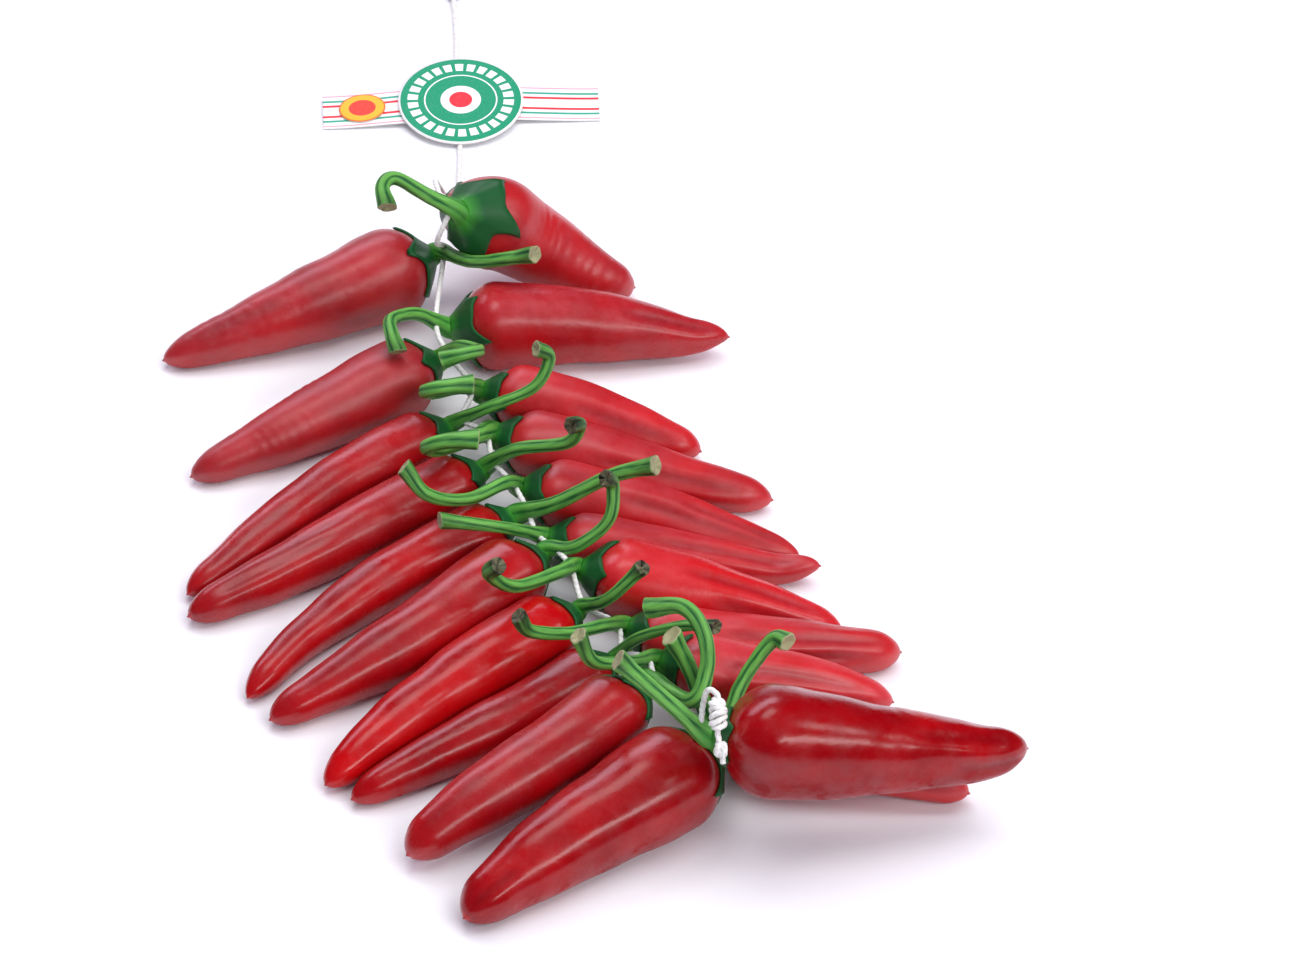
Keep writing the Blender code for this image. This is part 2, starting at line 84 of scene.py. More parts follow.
@dataclass(frozen=True)
class Chilli:
    """One chilli: where its stalk joins it, how it lies, and its own shape and skin."""

    name: str
    seat: tuple[float, float]           # where the stalk joins the pod
    heading: float                      # the way the pod points, anticlockwise from +X
    length: float
    width: float
    sway: float                         # sideways bow at the middle, to the left
    taper: float                        # higher keeps the pod full for longer
    blunt: float                        # width at the tip over the width at the shoulder
    lifts: tuple[float, float]          # height of the underside at the seat and at the tip
    stalk: tuple[tuple[float, float, float], ...]   # the stalk's line, from the seat
    stalk_width: float
    ripeness: float                     # 0 dark, 1 bright scarlet
    gloss: float                        # 0 under a dull bloom, 1 polished
    bloom_sheen: float                        # how thick the pale bloom, a painted sheen, lies on the upper side
    calyx: float = 1.0                  # how far the calyx reaches, over the usual
    wrinkle: tuple[float, float] = (0.0, 5.0)   # height and spacing of crosswise wrinkles
    dimple: float = 0.02                # depth of the skin's dimples
    curl: float = 0.0                   # how far the tip curls up
    hook: float = 0.0                   # how far the tip turns to the left
    swerve: float = 0.0                 # sideways bow near the seat
    dive: float = 1.0                   # higher brings the underside down sooner
    cut_end: CutEnd = CutEnd.BROWN
    creases: tuple[Crease, ...] = ()


CHILLIES = (
    Chilli("r01", (-22, -194), -7, 108, 43, -4.0, 1.5, 0.32, (29, 22),
           ((-18, 7, 15), (-34, 15, 31)), 7.4,
           ripeness=0.15, gloss=0.88, bloom_sheen=0.0, calyx=0.6, wrinkle=(0.05, 9.0), curl=3.0,
           creases=(Crease(118, -8, 0.55, 1.0, 0.7, 2.6), Crease(168, 6, 0.70, 1.0, 0.6, 2.4))),
    Chilli("l01", (-22, -172), -155, 109, 39, -1.0, 1.9, 0.38, (0, 0),
           ((17, 20, 14), (30, 26, 28), (35, 22, 30)), 6.8,
           ripeness=0.2, gloss=0.85, bloom_sheen=0.02, cut_end=CutEnd.PALE,
           creases=(Crease(62, 6, 0.78, 1.0, 0.4, 1.8),)),
    Chilli("r02", (-9, -158), -27, 86, 28, 0.5, 1.8, 0.36, (0, 0),
           ((-8, 8, 10), (-12, 14, 24), (-18, 18, 38)), 8.0,
           ripeness=0.85, gloss=0.25, bloom_sheen=0.3, cut_end=CutEnd.PALE,
           creases=(Crease(140, 4, 0.30, 1.0, 0.8, 2.5),)),
    Chilli("l02", (-40, -138), -154, 104, 28, 2.0, 3.0, 0.48, (10, 2),
           ((16, -18, 10), (23, -13, 19), (24, -5, 29), (19, 4, 35), (8, 13, 29)), 7.4,
           ripeness=0.3, gloss=0.7, bloom_sheen=0.04, cut_end=CutEnd.PALE,
           creases=(Crease(88, -6, 0.60, 0.98, 0.12, 3.4),)),
    Chilli("r03", (-23, -124), -18, 80, 26, 0.0, 2.0, 0.36, (10, 5),
           ((-17, -8, 12), (-33, -17, 24), (-38, -16, 36)), 6.4,
           ripeness=0.85, gloss=0.25, bloom_sheen=0.32,
           creases=(Crease(128, 4, 0.15, 0.95, 1.1, 2.2), Crease(160, 6, 0.35, 1.0, 0.9, 2.0))),
    Chilli("l03", (-44, -108), -159, 109, 24, 3.0, 2.2, 0.42, (0, 0),
           ((12, -5, 17), (25, -16, 29), (35, -25, 34)), 5.4,
           ripeness=0.2, gloss=0.8, bloom_sheen=0.0, dimple=0.06, cut_end=CutEnd.BLACK,
           creases=(Crease(80, 10, 0.20, 0.85, 0.10, 3.0),)),
    Chilli("r04", (-27, -93), -16, 95, 26, -6.5, 2.8, 0.46, (0, 0),
           ((-14, -6, 12), (-31, -16, 20), (-45, -18, 26), (-49, -17, 33)), 6.2,
           ripeness=0.6, gloss=0.3, bloom_sheen=0.22, cut_end=CutEnd.BLACK,
           creases=(Crease(120, -6, 0.25, 1.0, 1.1, 2.2), Crease(150, 5, 0.20, 0.95, 1.0, 2.4))),
    Chilli("l04", (-51, -81), -151, 117, 29, -3.0, 2.1, 0.38, (0, 0),
           ((13, -9, 15), (25, -12, 30)), 6.0,
           ripeness=0.6, gloss=0.85, bloom_sheen=0.0, cut_end=CutEnd.BLACK,
           creases=(Crease(92, 0, 0.30, 0.80, 0.10, 4.0),)),
    Chilli("r05", (-37, -61), -25, 93, 30, 0.0, 1.8, 0.28, (2, 0),
           ((-14, -8, 11), (-33, -18, 16), (-43, -20, 26), (-40, -22, 31)), 6.4,
           ripeness=0.95, gloss=0.6, bloom_sheen=0.22, cut_end=CutEnd.BLACK,
           creases=(Crease(104, -4, 0.30, 1.0, 0.8, 2.4), Crease(150, 4, 0.45, 1.0, 0.6, 2.6))),
    Chilli("l05", (-56, -48), -155, 121, 31, 4.0, 2.0, 0.36, (0, 0),
           ((15, -6, 10), (27, -6, 20), (30, 0, 31), (27, -1, 36)), 6.2,
           ripeness=0.3, gloss=0.75, bloom_sheen=0.04, cut_end=CutEnd.BLACK,
           creases=(Crease(86, 4, 0.50, 0.95, 0.12, 3.6),)),
    Chilli("r06", (-43, -34), -21, 97, 22, -0.4, 1.8, 0.34, (0, 0),
           ((-22, -7, 17), (-46, -5, 24)), 6.2,
           ripeness=0.6, gloss=0.3, bloom_sheen=0.26, curl=5.0, creases=(Crease(112, 4, 0.30, 1.0, 0.9, 2.0),)),
    Chilli("l06", (-62, -21), -152, 126, 24, -5.5, 2.0, 0.38, (0, 0),
           ((20, -8, 14), (39, -12, 26), (54, -19, 34)), 7.2,
           ripeness=0.35, gloss=0.75, bloom_sheen=0.02, dimple=0.04, hook=5.0,
           creases=(Crease(98, -8, 0.35, 0.95, 0.15, 3.0),)),
    Chilli("r07", (-46, -6), -29, 102, 26, 1.5, 1.8, 0.28, (0, 0),
           ((-13, -6, 12), (-29, -14, 14), (-44, -15, 20), (-51, -8, 29)), 6.4,
           ripeness=0.6, gloss=0.3, bloom_sheen=0.18,
           creases=(Crease(124, 6, 0.25, 1.0, 1.0, 2.4), Crease(96, -4, 0.50, 1.0, 0.7, 2.2))),
    Chilli("l07", (-67, 8), -159, 125, 26, 2.0, 2.2, 0.46, (0, 0),
           ((16, -8, 17), (33, -18, 25), (37, -20, 34), (33, -23, 37)), 6.4,
           ripeness=0.3, gloss=0.65, bloom_sheen=0.03, cut_end=CutEnd.BLACK,
           creases=(Crease(64, 8, 0.45, 1.0, 0.6, 2.2), Crease(92, -6, 0.40, 0.98, 0.35, 2.6))),
    Chilli("r08", (-49, 26), -29, 103, 26, -2.6, 2.1, 0.42, (0, 0),
           ((-14, -9, 12), (-30, -20, 18), (-36, -25, 24), (-30, -29, 29), (-18, -31, 29)), 7.6,
           ripeness=0.55, gloss=0.3, bloom_sheen=0.16, cut_end=CutEnd.PALE,
           creases=(Crease(138, -4, 0.30, 0.95, 0.8, 2.2),)),
    Chilli("l08", (-73, 37), -151, 124, 24, -4.0, 2.2, 0.40, (0, 0),
           ((17, -6, 14), (35, -9, 23), (42, -5, 33), (37, -5, 38)), 5.8,
           ripeness=0.3, gloss=0.65, bloom_sheen=0.04, dimple=0.06,
           creases=(Crease(70, 14, 0.50, 1.0, 0.2, 2.8),)),
    Chilli("r09", (-48, 53), -31, 82, 26, 1.0, 2.2, 0.38, (0, 0),
           ((-14, -8, 14), (-26, -16, 20), (-31, -22, 26), (-26, -26, 30), (-14, -27, 30)), 7.2,
           ripeness=0.65, gloss=0.4, bloom_sheen=0.18, dimple=0.03, cut_end=CutEnd.PALE,
           creases=(Crease(130, 8, 0.35, 0.95, 0.6, 2.6),)),
    Chilli("l09", (-69, 73), -163, 103, 32, 2.5, 1.9, 0.30, (0, 0),
           ((10, -9, 15), (15, -21, 22), (9, -28, 27), (0, -26, 24)), 6.8,
           ripeness=0.3, gloss=0.2, bloom_sheen=0.16, wrinkle=(0.06, 3.8), dimple=0.07, cut_end=CutEnd.PALE),
    Chilli("r10", (-52, 92), -13, 103, 34, 2.0, 2.1, 0.22, (0, 3),
           ((-18, -3, 13), (-30, -14, 21), (-32, -26, 22), (-31, -31, 19)), 6.6,
           ripeness=0.4, gloss=0.6, bloom_sheen=0.18, curl=3.5, creases=(Crease(112, -6, 0.55, 1.0, 0.8, 2.4),)),
    Chilli("l10", (-58, 131), -171, 108, 38, 3.0, 1.5, 0.26, (3, 0),
           ((15, -25, 16), (35, -41, 28)), 6.6,
           ripeness=0.3, gloss=0.35, bloom_sheen=0.16, wrinkle=(0.04, 6.0), dimple=0.1,
           creases=(Crease(64, 10, 0.50, 0.95, 0.25, 3.2),)),
    Chilli("r11", (-45, 119), -5, 67, 40, 0.0, 1.5, 0.30, (32.5, 0),
           ((-13, 1, 11), (-24, 7, 17), (-30, 3, 17), (-30, -5, 13)), 7.2,
           ripeness=0.5, gloss=0.4, bloom_sheen=0.14, wrinkle=(0.07, 4.4), dimple=0.03, swerve=12.0, dive=2.3),
)


# ---- colour and shader nodes ------------------------------------------------

def linear(colour: str) -> tuple[float, float, float, float]:
    """Turn an sRGB hex colour into linear light.

    Args:
        colour: six hex digits after a "#".

    Returns:
        Red, green, blue and alpha, from 0 to 1.
    """
    channels = []
    for start in (1, 3, 5):
        value = int(colour[start:start + 2], 16) / 255
        channels.append(value / 12.92 if value <= 0.04045 else ((value + 0.055) / 1.055) ** 2.4)
    return (*channels, 1.0)


def fill(tree: bpy.types.NodeTree, node: bpy.types.Node, inputs: dict) -> None:
    """Set a node's sockets by name or number, or link them to other nodes' outputs.

    Args:
        tree: the node tree.
        node: the node to fill.
        inputs: input socket name or number to a value, or to an output socket to link.
    """
    for name, value in inputs.items():
        if isinstance(value, bpy.types.NodeSocket):
            tree.links.new(value, node.inputs[name])
        else:
            node.inputs[name].default_value = value


def add_node(tree: bpy.types.NodeTree, kind: str, inputs: dict | None = None,
             **settings: object) -> bpy.types.Node:
    """Add a node to a shader tree, with its settings, values and links.

    Args:
        tree: the node tree.
        kind: the node's type name.
        inputs: input socket name or number to a value, or to an output socket to link.
        settings: the node's own properties.

    Returns:
        The new node.
    """
    node = tree.nodes.new(kind)
    for name, value in settings.items():
        setattr(node, name, value)
    fill(tree, node, inputs or {})
    return node


def principled(name: str, **values: object) -> tuple[bpy.types.Material, bpy.types.Node]:
    """Start a material from its Principled shader.

    Args:
        name: the material's name.
        values: shader sockets to set, with _ for each space in a socket's name.

    Returns:
        The material and its Principled node.
    """
    material = bpy.data.materials.new(name)
    material.use_nodes = True
    shader = material.node_tree.nodes["Principled BSDF"]
    for socket, value in values.items():
        shader.inputs[socket.replace("_", " ")].default_value = value
    return material, shader


# ---- lines and lofted meshes --------------------------------------------------

def smooth_path(points: np.ndarray, per_span: int = 8) -> np.ndarray:
    """Draw a Catmull-Rom curve through guide points.

    Args:
        points: the guide points, one a row.
        per_span: steps between two guide points.

    Returns:
        The curve's points, one a row.
    """
    points = np.asarray(points, float)
    guides = np.vstack((points[0] * 2 - points[1], points, points[-1] * 2 - points[-2]))
    t = np.arange(per_span)[:, None] / per_span
    spans = []
    for a, b, c, d in zip(guides, guides[1:], guides[2:], guides[3:]):
        spans.append(0.5 * (2 * b + (c - a) * t + (2 * a - 5 * b + 4 * c - d) * t ** 2
                            + (3 * b - a - 3 * c + d) * t ** 3))
    return np.vstack((*spans, points[-1:]))


def lengths_along(path: np.ndarray) -> np.ndarray:
    """Distance of each point of a path from its start."""
    return np.concatenate(([0.0], np.cumsum(np.linalg.norm(np.diff(path, axis=0), axis=1))))


def points_along(path: np.ndarray, distances: np.ndarray) -> np.ndarray:
    """The points of a path at distances from its start."""
    measured = lengths_along(path)
    return np.stack([np.interp(distances, measured, path[:, k]) for k in range(3)], axis=-1)


def resampled(path: np.ndarray, step: float) -> np.ndarray:
    """The same path with even points about a step apart.

    Args:
        path: the path's points.
        step: about how far apart, in mm.

    Returns:
        The new points.
    """
    total = lengths_along(path)[-1]
    count = max(2, round(total / step))
    return points_along(path, np.linspace(0.0, total, count + 1))


def unit(vectors: np.ndarray) -> np.ndarray:
    """The same vectors with length one."""
    return vectors / np.maximum(np.linalg.norm(vectors, axis=-1, keepdims=True), 1e-12)


def smoothstep(low: float, high: float, value: np.ndarray) -> np.ndarray:
    """Ease from 0 at low to 1 at high."""
    t = np.clip((value - low) / (high - low), 0.0, 1.0)
    return t * t * (3 - 2 * t)


def carried_frames(path: np.ndarray, side: np.ndarray,
                   start: np.ndarray | None = None) -> tuple[np.ndarray, np.ndarray]:
    """Carry a sideways direction along a path without twist.

    Args:
        path: the path's points.
        side: the sideways direction at the start.
        start: the path's own direction at its start, where it is given.

    Returns:
        The side and up directions at every point.
    """
    tangents = unit(np.gradient(path, axis=0))
    if start is not None:
        tangents[0] = start
    sides = []
    for tangent in tangents:
        side = unit(side - tangent * np.dot(side, tangent))
        sides.append(side)
    sides = np.array(sides)
    return sides, np.cross(tangents, sides)


def round_axis(left: np.ndarray, up: np.ndarray, angle: np.ndarray) -> np.ndarray:
    """Directions away from an axis, at angles from its left over its top."""
    return left * np.cos(angle)[..., None] + up * np.sin(angle)[..., None]


def noise_at(points: np.ndarray, size: float, seed: float) -> np.ndarray:
    """Smooth noise from -1 to 1 over points.

    Args:
        points: places in mm, with the last axis of length three.
        size: how wide one lump of the noise is, in mm.
        seed: shifts the noise, so that no two pieces share it.

    Returns:
        The noise at each point.
    """
    flat = points.reshape(-1, 3) / size + seed
    return np.array([noise.noise(Vector(p)) for p in flat]).reshape(points.shape[:-1])


@dataclass
class Loft:
    """A closed skin over rings of points, in mm, with a pole at each end.

    Every named trait is a value a point, or a vector a point, that a material reads.
    """

    rings: np.ndarray
    first_pole: np.ndarray
    last_pole: np.ndarray
    traits: dict[str, np.ndarray] = field(default_factory=dict)

    def points(self) -> np.ndarray:
        """All the points, ring by ring, then the two poles."""
        return np.vstack((self.rings.reshape(-1, 3), self.first_pole, self.last_pole))

    def faces(self) -> list[tuple[int, ...]]:
        """The faces between the rings and round the poles, facing outwards.

        Returns:
            Each face as the numbers of its points.
        """
        count, sides = self.rings.shape[:2]
        first, last = count * sides, count * sides + 1
        k = np.arange(sides)
        n = (k + 1) % sides
        faces = []
        for ring in range(count - 1):
            low, high = ring * sides, (ring + 1) * sides
            faces += zip((low + k).tolist(), (low + n).tolist(),
                         (high + n).tolist(), (high + k).tolist())
        end = (count - 1) * sides
        faces += [(first, b, a) for a, b in zip(k.tolist(), n.tolist())]
        faces += [(last, end + a, end + b) for a, b in zip(k.tolist(), n.tolist())]
        if self.volume() < 0:
            faces = [face[::-1] for face in faces]
        return faces

    def volume(self) -> float:
        """Signed volume between the rings, negative where the skin is inside out.

        Returns:
            The volume, times a constant.
        """
        middle = self.rings.mean(axis=(0, 1))
        a = self.rings[:-1] - middle
        b = np.roll(a, -1, axis=1)
        c = self.rings[1:] - middle
        return float((a * np.cross(b, c)).sum())

    def mesh(self, name: str) -> bpy.types.Mesh:
        """Build the Blender mesh with its traits as point attributes.

        Args:
            name: the mesh's name.

        Returns:
            The mesh, in metres.
        """
        mesh = bpy.data.meshes.new(name)
        mesh.from_pydata(((self.points() + SHIFT) * MM).tolist(), [], self.faces())
        for trait, values in self.traits.items():
            is_vector = values.ndim == 3
            ends = [values[0].mean(axis=0), values[-1].mean(axis=0)]
            flat = np.concatenate((values.reshape((-1, 3) if is_vector else -1), ends))
            kind, slot = ("FLOAT_VECTOR", "vector") if is_vector else ("FLOAT", "value")
            attribute = mesh.attributes.new(trait, kind, "POINT")
            attribute.data.foreach_set(slot, flat.astype(np.float32).ravel())
        mesh.shade_smooth()
        return mesh


def place(mesh: bpy.types.Mesh, material: bpy.types.Material, slot: str,
          *stands_for: str) -> bpy.types.Object:
    """Put a piece in the scene on the one body and hide the solid parts that it stands for.

    Args:
        mesh: the piece's mesh; the piece takes its name.
        material: its finish.
        slot: not used.
        stands_for: the solid nodes that it replaces.

    Returns:
        The new object.
    """
    piece = bpy.data.objects.new(mesh.name, mesh)
    piece.data.materials.append(material)
    bpy.context.scene.collection.objects.link(piece)
    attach(piece, BODY)
    if stands_for:
        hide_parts(*stands_for)
    return piece


# ---- finishes ---------------------------------------------------------------

@dataclass(frozen=True)
class PepperSkin:
    """Ripe pepper skin: crimson flesh under a waxy cuticle, which shines where it is rubbed."""

    ripe: str = "#C8080E"
    deep: str = "#8A020A"
    shaded: str = "#6E020A"             # painted shade in the folds
    painted_sheen_film: str = "#F07080"               # painted sheen: a pale pink film on the upper side, laid on as a bloom of wax
    scar: str = "#B8141A"               # the dry point of the tip
    peel_mm: float = 1.9                # the skin's orange peel
    peel_height_mm: float = 0.055
    blotch_mm: float = 22.0
    turning: tuple[float, float] = (0.55, 1.35)     # blotch plus ripeness, from deep to ripe
    fold_shade: float = 0.5
    grain_mm: float = 3.0               # of the painted sheen's bloom
    scar_span: tuple[float, float] = (0.992, 0.999)     # shares of the pod's length
    wax_mm: float = 9.0                 # from one rubbed patch to the next
    wax_contrast: float = 1.2
    bloom_sheen: tuple[float, float] = (0.50, 0.30)       # roughness under bloom and where polished
    haze: tuple[float, float] = (1.00, 0.00)        # how much the bloom scatters, likewise
    wax: tuple[float, float] = (0.35, 1.0)          # weight of the clear cuticle, likewise
    cuticle_blur: tuple[float, float] = (0.42, 0.19)    # roughness of the cuticle, likewise

    def material(self) -> bpy.types.Material:
        """Build the skin's material.

        Returns:
            The material.
        """
        material, shader = principled("pepper_skin_waxy", IOR=1.45, Coat_IOR=1.41)
        tree = material.node_tree
        read = {name: add_node(tree, "ShaderNodeAttribute", attribute_name=name)
                for name in ("skin", "along", "fold", "ripeness", "gloss", "bloom_sheen", "cuticle")}
        skin = read["skin"].outputs["Vector"]
        blotch = add_node(tree, "ShaderNodeTexNoise", {
            "Vector": skin, "Scale": 1 / self.blotch_mm, "Detail": 3.0})
        turned = add_node(tree, "ShaderNodeMath", {
            0: blotch.outputs["Fac"], 1: read["ripeness"].outputs["Fac"]}, operation="ADD")
        turning = add_node(tree, "ShaderNodeMapRange", {
            "Value": turned.outputs[0], "From Min": self.turning[0],
            "From Max": self.turning[1]})
        # Painted shade: the skin turns to the shaded colour down in its creases.
        painted_fold_shade = add_node(tree, "ShaderNodeMath", {
            0: read["fold"].outputs["Fac"], 1: self.fold_shade}, operation="MULTIPLY")
        # Painted sheen: a pale pink bloom, thickest on the upper side, mixed into the colour.
        grain = add_node(tree, "ShaderNodeTexNoise", {
            "Vector": skin, "Scale": 1 / self.grain_mm, "Detail": 3.0})
        painted_sheen_share = add_node(tree, "ShaderNodeMath", {
            0: read["bloom_sheen"].outputs["Fac"], 1: grain.outputs["Fac"]}, operation="MULTIPLY")
        tip = add_node(tree, "ShaderNodeMapRange", {
            "Value": read["along"].outputs["Fac"], "From Min": self.scar_span[0],
            "From Max": self.scar_span[1]})
        colour = linear(self.deep)
        for share, tone in ((turning, self.ripe), (painted_fold_shade, self.shaded), (painted_sheen_share, self.painted_sheen_film),
                            (tip, self.scar)):
            colour = add_node(tree, "ShaderNodeMix", {
                0: share.outputs[0], 6: colour, 7: linear(tone)},
                data_type="RGBA").outputs[2]
        wax = add_node(tree, "ShaderNodeTexNoise", {
            "Vector": skin, "Scale": 1 / self.wax_mm, "Detail": 4.0, "Roughness": 0.65})
        rubbed = add_node(tree, "ShaderNodeMath", {
            0: wax.outputs["Fac"], 1: 0.5}, operation="SUBTRACT")
        shine = add_node(tree, "ShaderNodeMath", {
            0: rubbed.outputs[0], 1: self.wax_contrast, 2: read["gloss"].outputs["Fac"]},
            operation="MULTIPLY_ADD", use_clamp=True)
        sockets = {"Base Color": colour}
        for socket, (bloomed, polished) in (
                ("Roughness", self.bloom_sheen), ("Specular IOR Level", self.haze),
                ("Coat Weight", self.wax), ("Coat Roughness", self.cuticle_blur)):
            sockets[socket] = add_node(tree, "ShaderNodeMapRange", {
                "Value": shine.outputs[0], "To Min": bloomed, "To Max": polished}).outputs[0]
        sockets["Coat Weight"] = add_node(tree, "ShaderNodeMath", {
            0: sockets["Coat Weight"], 1: read["cuticle"].outputs["Fac"]},
            operation="MULTIPLY").outputs[0]
        peel = add_node(tree, "ShaderNodeTexNoise", {
            "Vector": skin, "Scale": 1 / self.peel_mm, "Detail": 2.0})
        bump = add_node(tree, "ShaderNodeBump", {
            "Height": peel.outputs["Fac"], "Strength": 1.0,
            "Distance": self.peel_height_mm * MM})
        fill(tree, shader, {**sockets, "Normal": bump.outputs[0],
                            "Coat Normal": bump.outputs[0]})
        return material


@dataclass(frozen=True)
class StalkRind:
    """Fresh chilli stalk: a ribbed green rind, matt in its grooves, corky where it was cut; painted shade
    darkens its grooves and a painted highlight lightens its ribs.
    """

    # Painted light: the groove colour is painted shade, the rib colour a painted highlight.
    groove: str = "#17572A"
    rib: str = "#6CB04E"
    base: str = "#3A8E2E"
    calyx: str = "#155428"
    dried: str = "#1F2417"
    cork: str = "#A8A57C"
    burnt: str = "#15120E"
    streak_scale: float = 0.9           # fibres about a millimetre across
    streak_middle: float = 0.55
    streak_contrast: float = 1.6
    streak_height_mm: float = 0.12
    patch_scale: float = 0.5            # dry patches about two millimetres across
    base_span: tuple[float, float] = (0.22, 0.02)   # shares of the length, to the base's green
    cap_span: tuple[float, float] = (0.0, -0.5)     # likewise to the calyx's
    dry_span: tuple[float, float] = (0.86, 1.0)     # likewise to the dried end's
    dryness: float = 1.9
    black_span: tuple[float, float] = (0.85, 1.6)   # patch plus char, from cork to black
    roughness: tuple[float, float] = (0.62, 0.40)   # in the grooves and on the ribs

    def material(self) -> bpy.types.Material:
        """Build the rind's material.

        Returns:
            The material.
        """
        material, shader = principled(
            "chilli_stalk_rind", IOR=1.42, Specular_IOR_Level=0.45)
        tree = material.node_tree
        fibre, *others = (
            add_node(tree, "ShaderNodeAttribute", attribute_name=name)
            for name in ("fibre", "along", "rib", "cut", "char"))
        along, rib, cut, char = (node.outputs["Fac"] for node in others)
        streak, patch = (
            add_node(tree, "ShaderNodeTexNoise", {
                "Vector": fibre.outputs["Vector"], "Scale": scale, "Detail": detail})
            for scale, detail in ((self.streak_scale, 3.0), (self.patch_scale, 2.0)))
        wavy = add_node(tree, "ShaderNodeMath", {
            0: streak.outputs["Fac"], 1: self.streak_middle}, operation="SUBTRACT")
        ribbed = add_node(tree, "ShaderNodeMath", {
            0: wavy.outputs[0], 1: self.streak_contrast, 2: rib},
            operation="MULTIPLY_ADD", use_clamp=True)
        near, cap, dry = (
            add_node(tree, "ShaderNodeMapRange", {
                "Value": along, "From Min": first, "From Max": last, "To Max": most})
            for (first, last), most in (
                (self.base_span, 1.0), (self.cap_span, 1.0), (self.dry_span, self.dryness)))
        drier = add_node(tree, "ShaderNodeMath", {
            0: patch.outputs["Fac"], 1: char}, operation="MULTIPLY")
        dried = add_node(tree, "ShaderNodeMath", {
            0: drier.outputs[0], 1: dry.outputs[0]}, operation="MULTIPLY", use_clamp=True)
        colour = linear(self.groove)
        # The rind's fibre streaks, with painted light from the ribs: lighter on them, darker in the
        # grooves.
        for share, tone in ((ribbed, self.rib), (near, self.base), (cap, self.calyx),
                            (dried, self.dried)):
            colour = add_node(tree, "ShaderNodeMix", {
                0: share.outputs[0], 6: colour, 7: linear(tone)},
                data_type="RGBA").outputs[2]
        charred = add_node(tree, "ShaderNodeMath", {
            0: patch.outputs["Fac"], 1: char}, operation="ADD")
        blacker = add_node(tree, "ShaderNodeMapRange", {
            "Value": charred.outputs[0], "From Min": self.black_span[0],
            "From Max": self.black_span[1]})
        face = add_node(tree, "ShaderNodeMix", {
            0: blacker.outputs[0], 6: linear(self.cork), 7: linear(self.burnt)},
            data_type="RGBA")
        whole = add_node(tree, "ShaderNodeMix", {0: cut, 6: colour, 7: face.outputs[2]},
                         data_type="RGBA")
        rough = add_node(tree, "ShaderNodeMapRange", {
            "Value": rib, "To Min": self.roughness[0], "To Max": self.roughness[1]})
        bump = add_node(tree, "ShaderNodeBump", {
            "Height": streak.outputs["Fac"], "Strength": 1.0,
            "Distance": self.streak_height_mm * MM})
        fill(tree, shader, {"Base Color": whole.outputs[2], "Roughness": rough.outputs[0],
                            "Normal": bump.outputs[0]})
        return material


@dataclass(frozen=True)
class CottonTwine:
    """Bleached cotton twine, laid from three strands: matt white, with painted shade between its fibres.
    """

    light: str = "#F8F7F4"
    fibre_gap_shade: str = "#CFCBC4"
    fibre_mm: float = 0.35              # drawn coarser than real fibres, so that they show
    fibre_height_mm: float = 0.15
    shade_span: tuple[float, float] = (0.3, 0.6)
    roughness: tuple[float, float] = (0.95, 0.75)   # between the fibres and on them

    def material(self) -> bpy.types.Material:
        """Build the twine's material.

        Returns:
            The material.
        """
        material, shader = principled("cotton_twine_bleached", IOR=1.5, Specular_IOR_Level=0.2,
                                      Sheen_Weight=0.3, Sheen_Roughness=0.5)
        tree = material.node_tree
        lay = add_node(tree, "ShaderNodeAttribute", attribute_name="lay")
        hair = add_node(tree, "ShaderNodeTexNoise", {
            "Vector": lay.outputs["Vector"], "Scale": 1 / self.fibre_mm, "Detail": 2.0})
        # Painted shade: greyer where the fibres' bump lies low, between them.
        tone = add_node(tree, "ShaderNodeMapRange", {
            "Value": hair.outputs["Fac"], "From Min": self.shade_span[0],
            "From Max": self.shade_span[1]})
        colour = add_node(tree, "ShaderNodeMix", {
            0: tone.outputs[0], 6: linear(self.fibre_gap_shade), 7: linear(self.light)},
            data_type="RGBA")
        rough = add_node(tree, "ShaderNodeMapRange", {
            "Value": hair.outputs["Fac"], "To Min": self.roughness[0],
            "To Max": self.roughness[1]})
        bump = add_node(tree, "ShaderNodeBump", {
            "Height": hair.outputs["Fac"], "Strength": 1.0,
            "Distance": self.fibre_height_mm * MM})
        fill(tree, shader, {"Base Color": colour.outputs[2], "Roughness": rough.outputs[0],
                            "Normal": bump.outputs[0]})
        return material


@dataclass(frozen=True)
class DashRing:
    """A printed ring of dashes: its inner and outer radius in mm, and how many there are."""

    inner: float
    outer: float
    count: int
    gap: float = 0.16                   # half of what a gap takes of a dash's turn
    ink: str = "#F6F6F2"


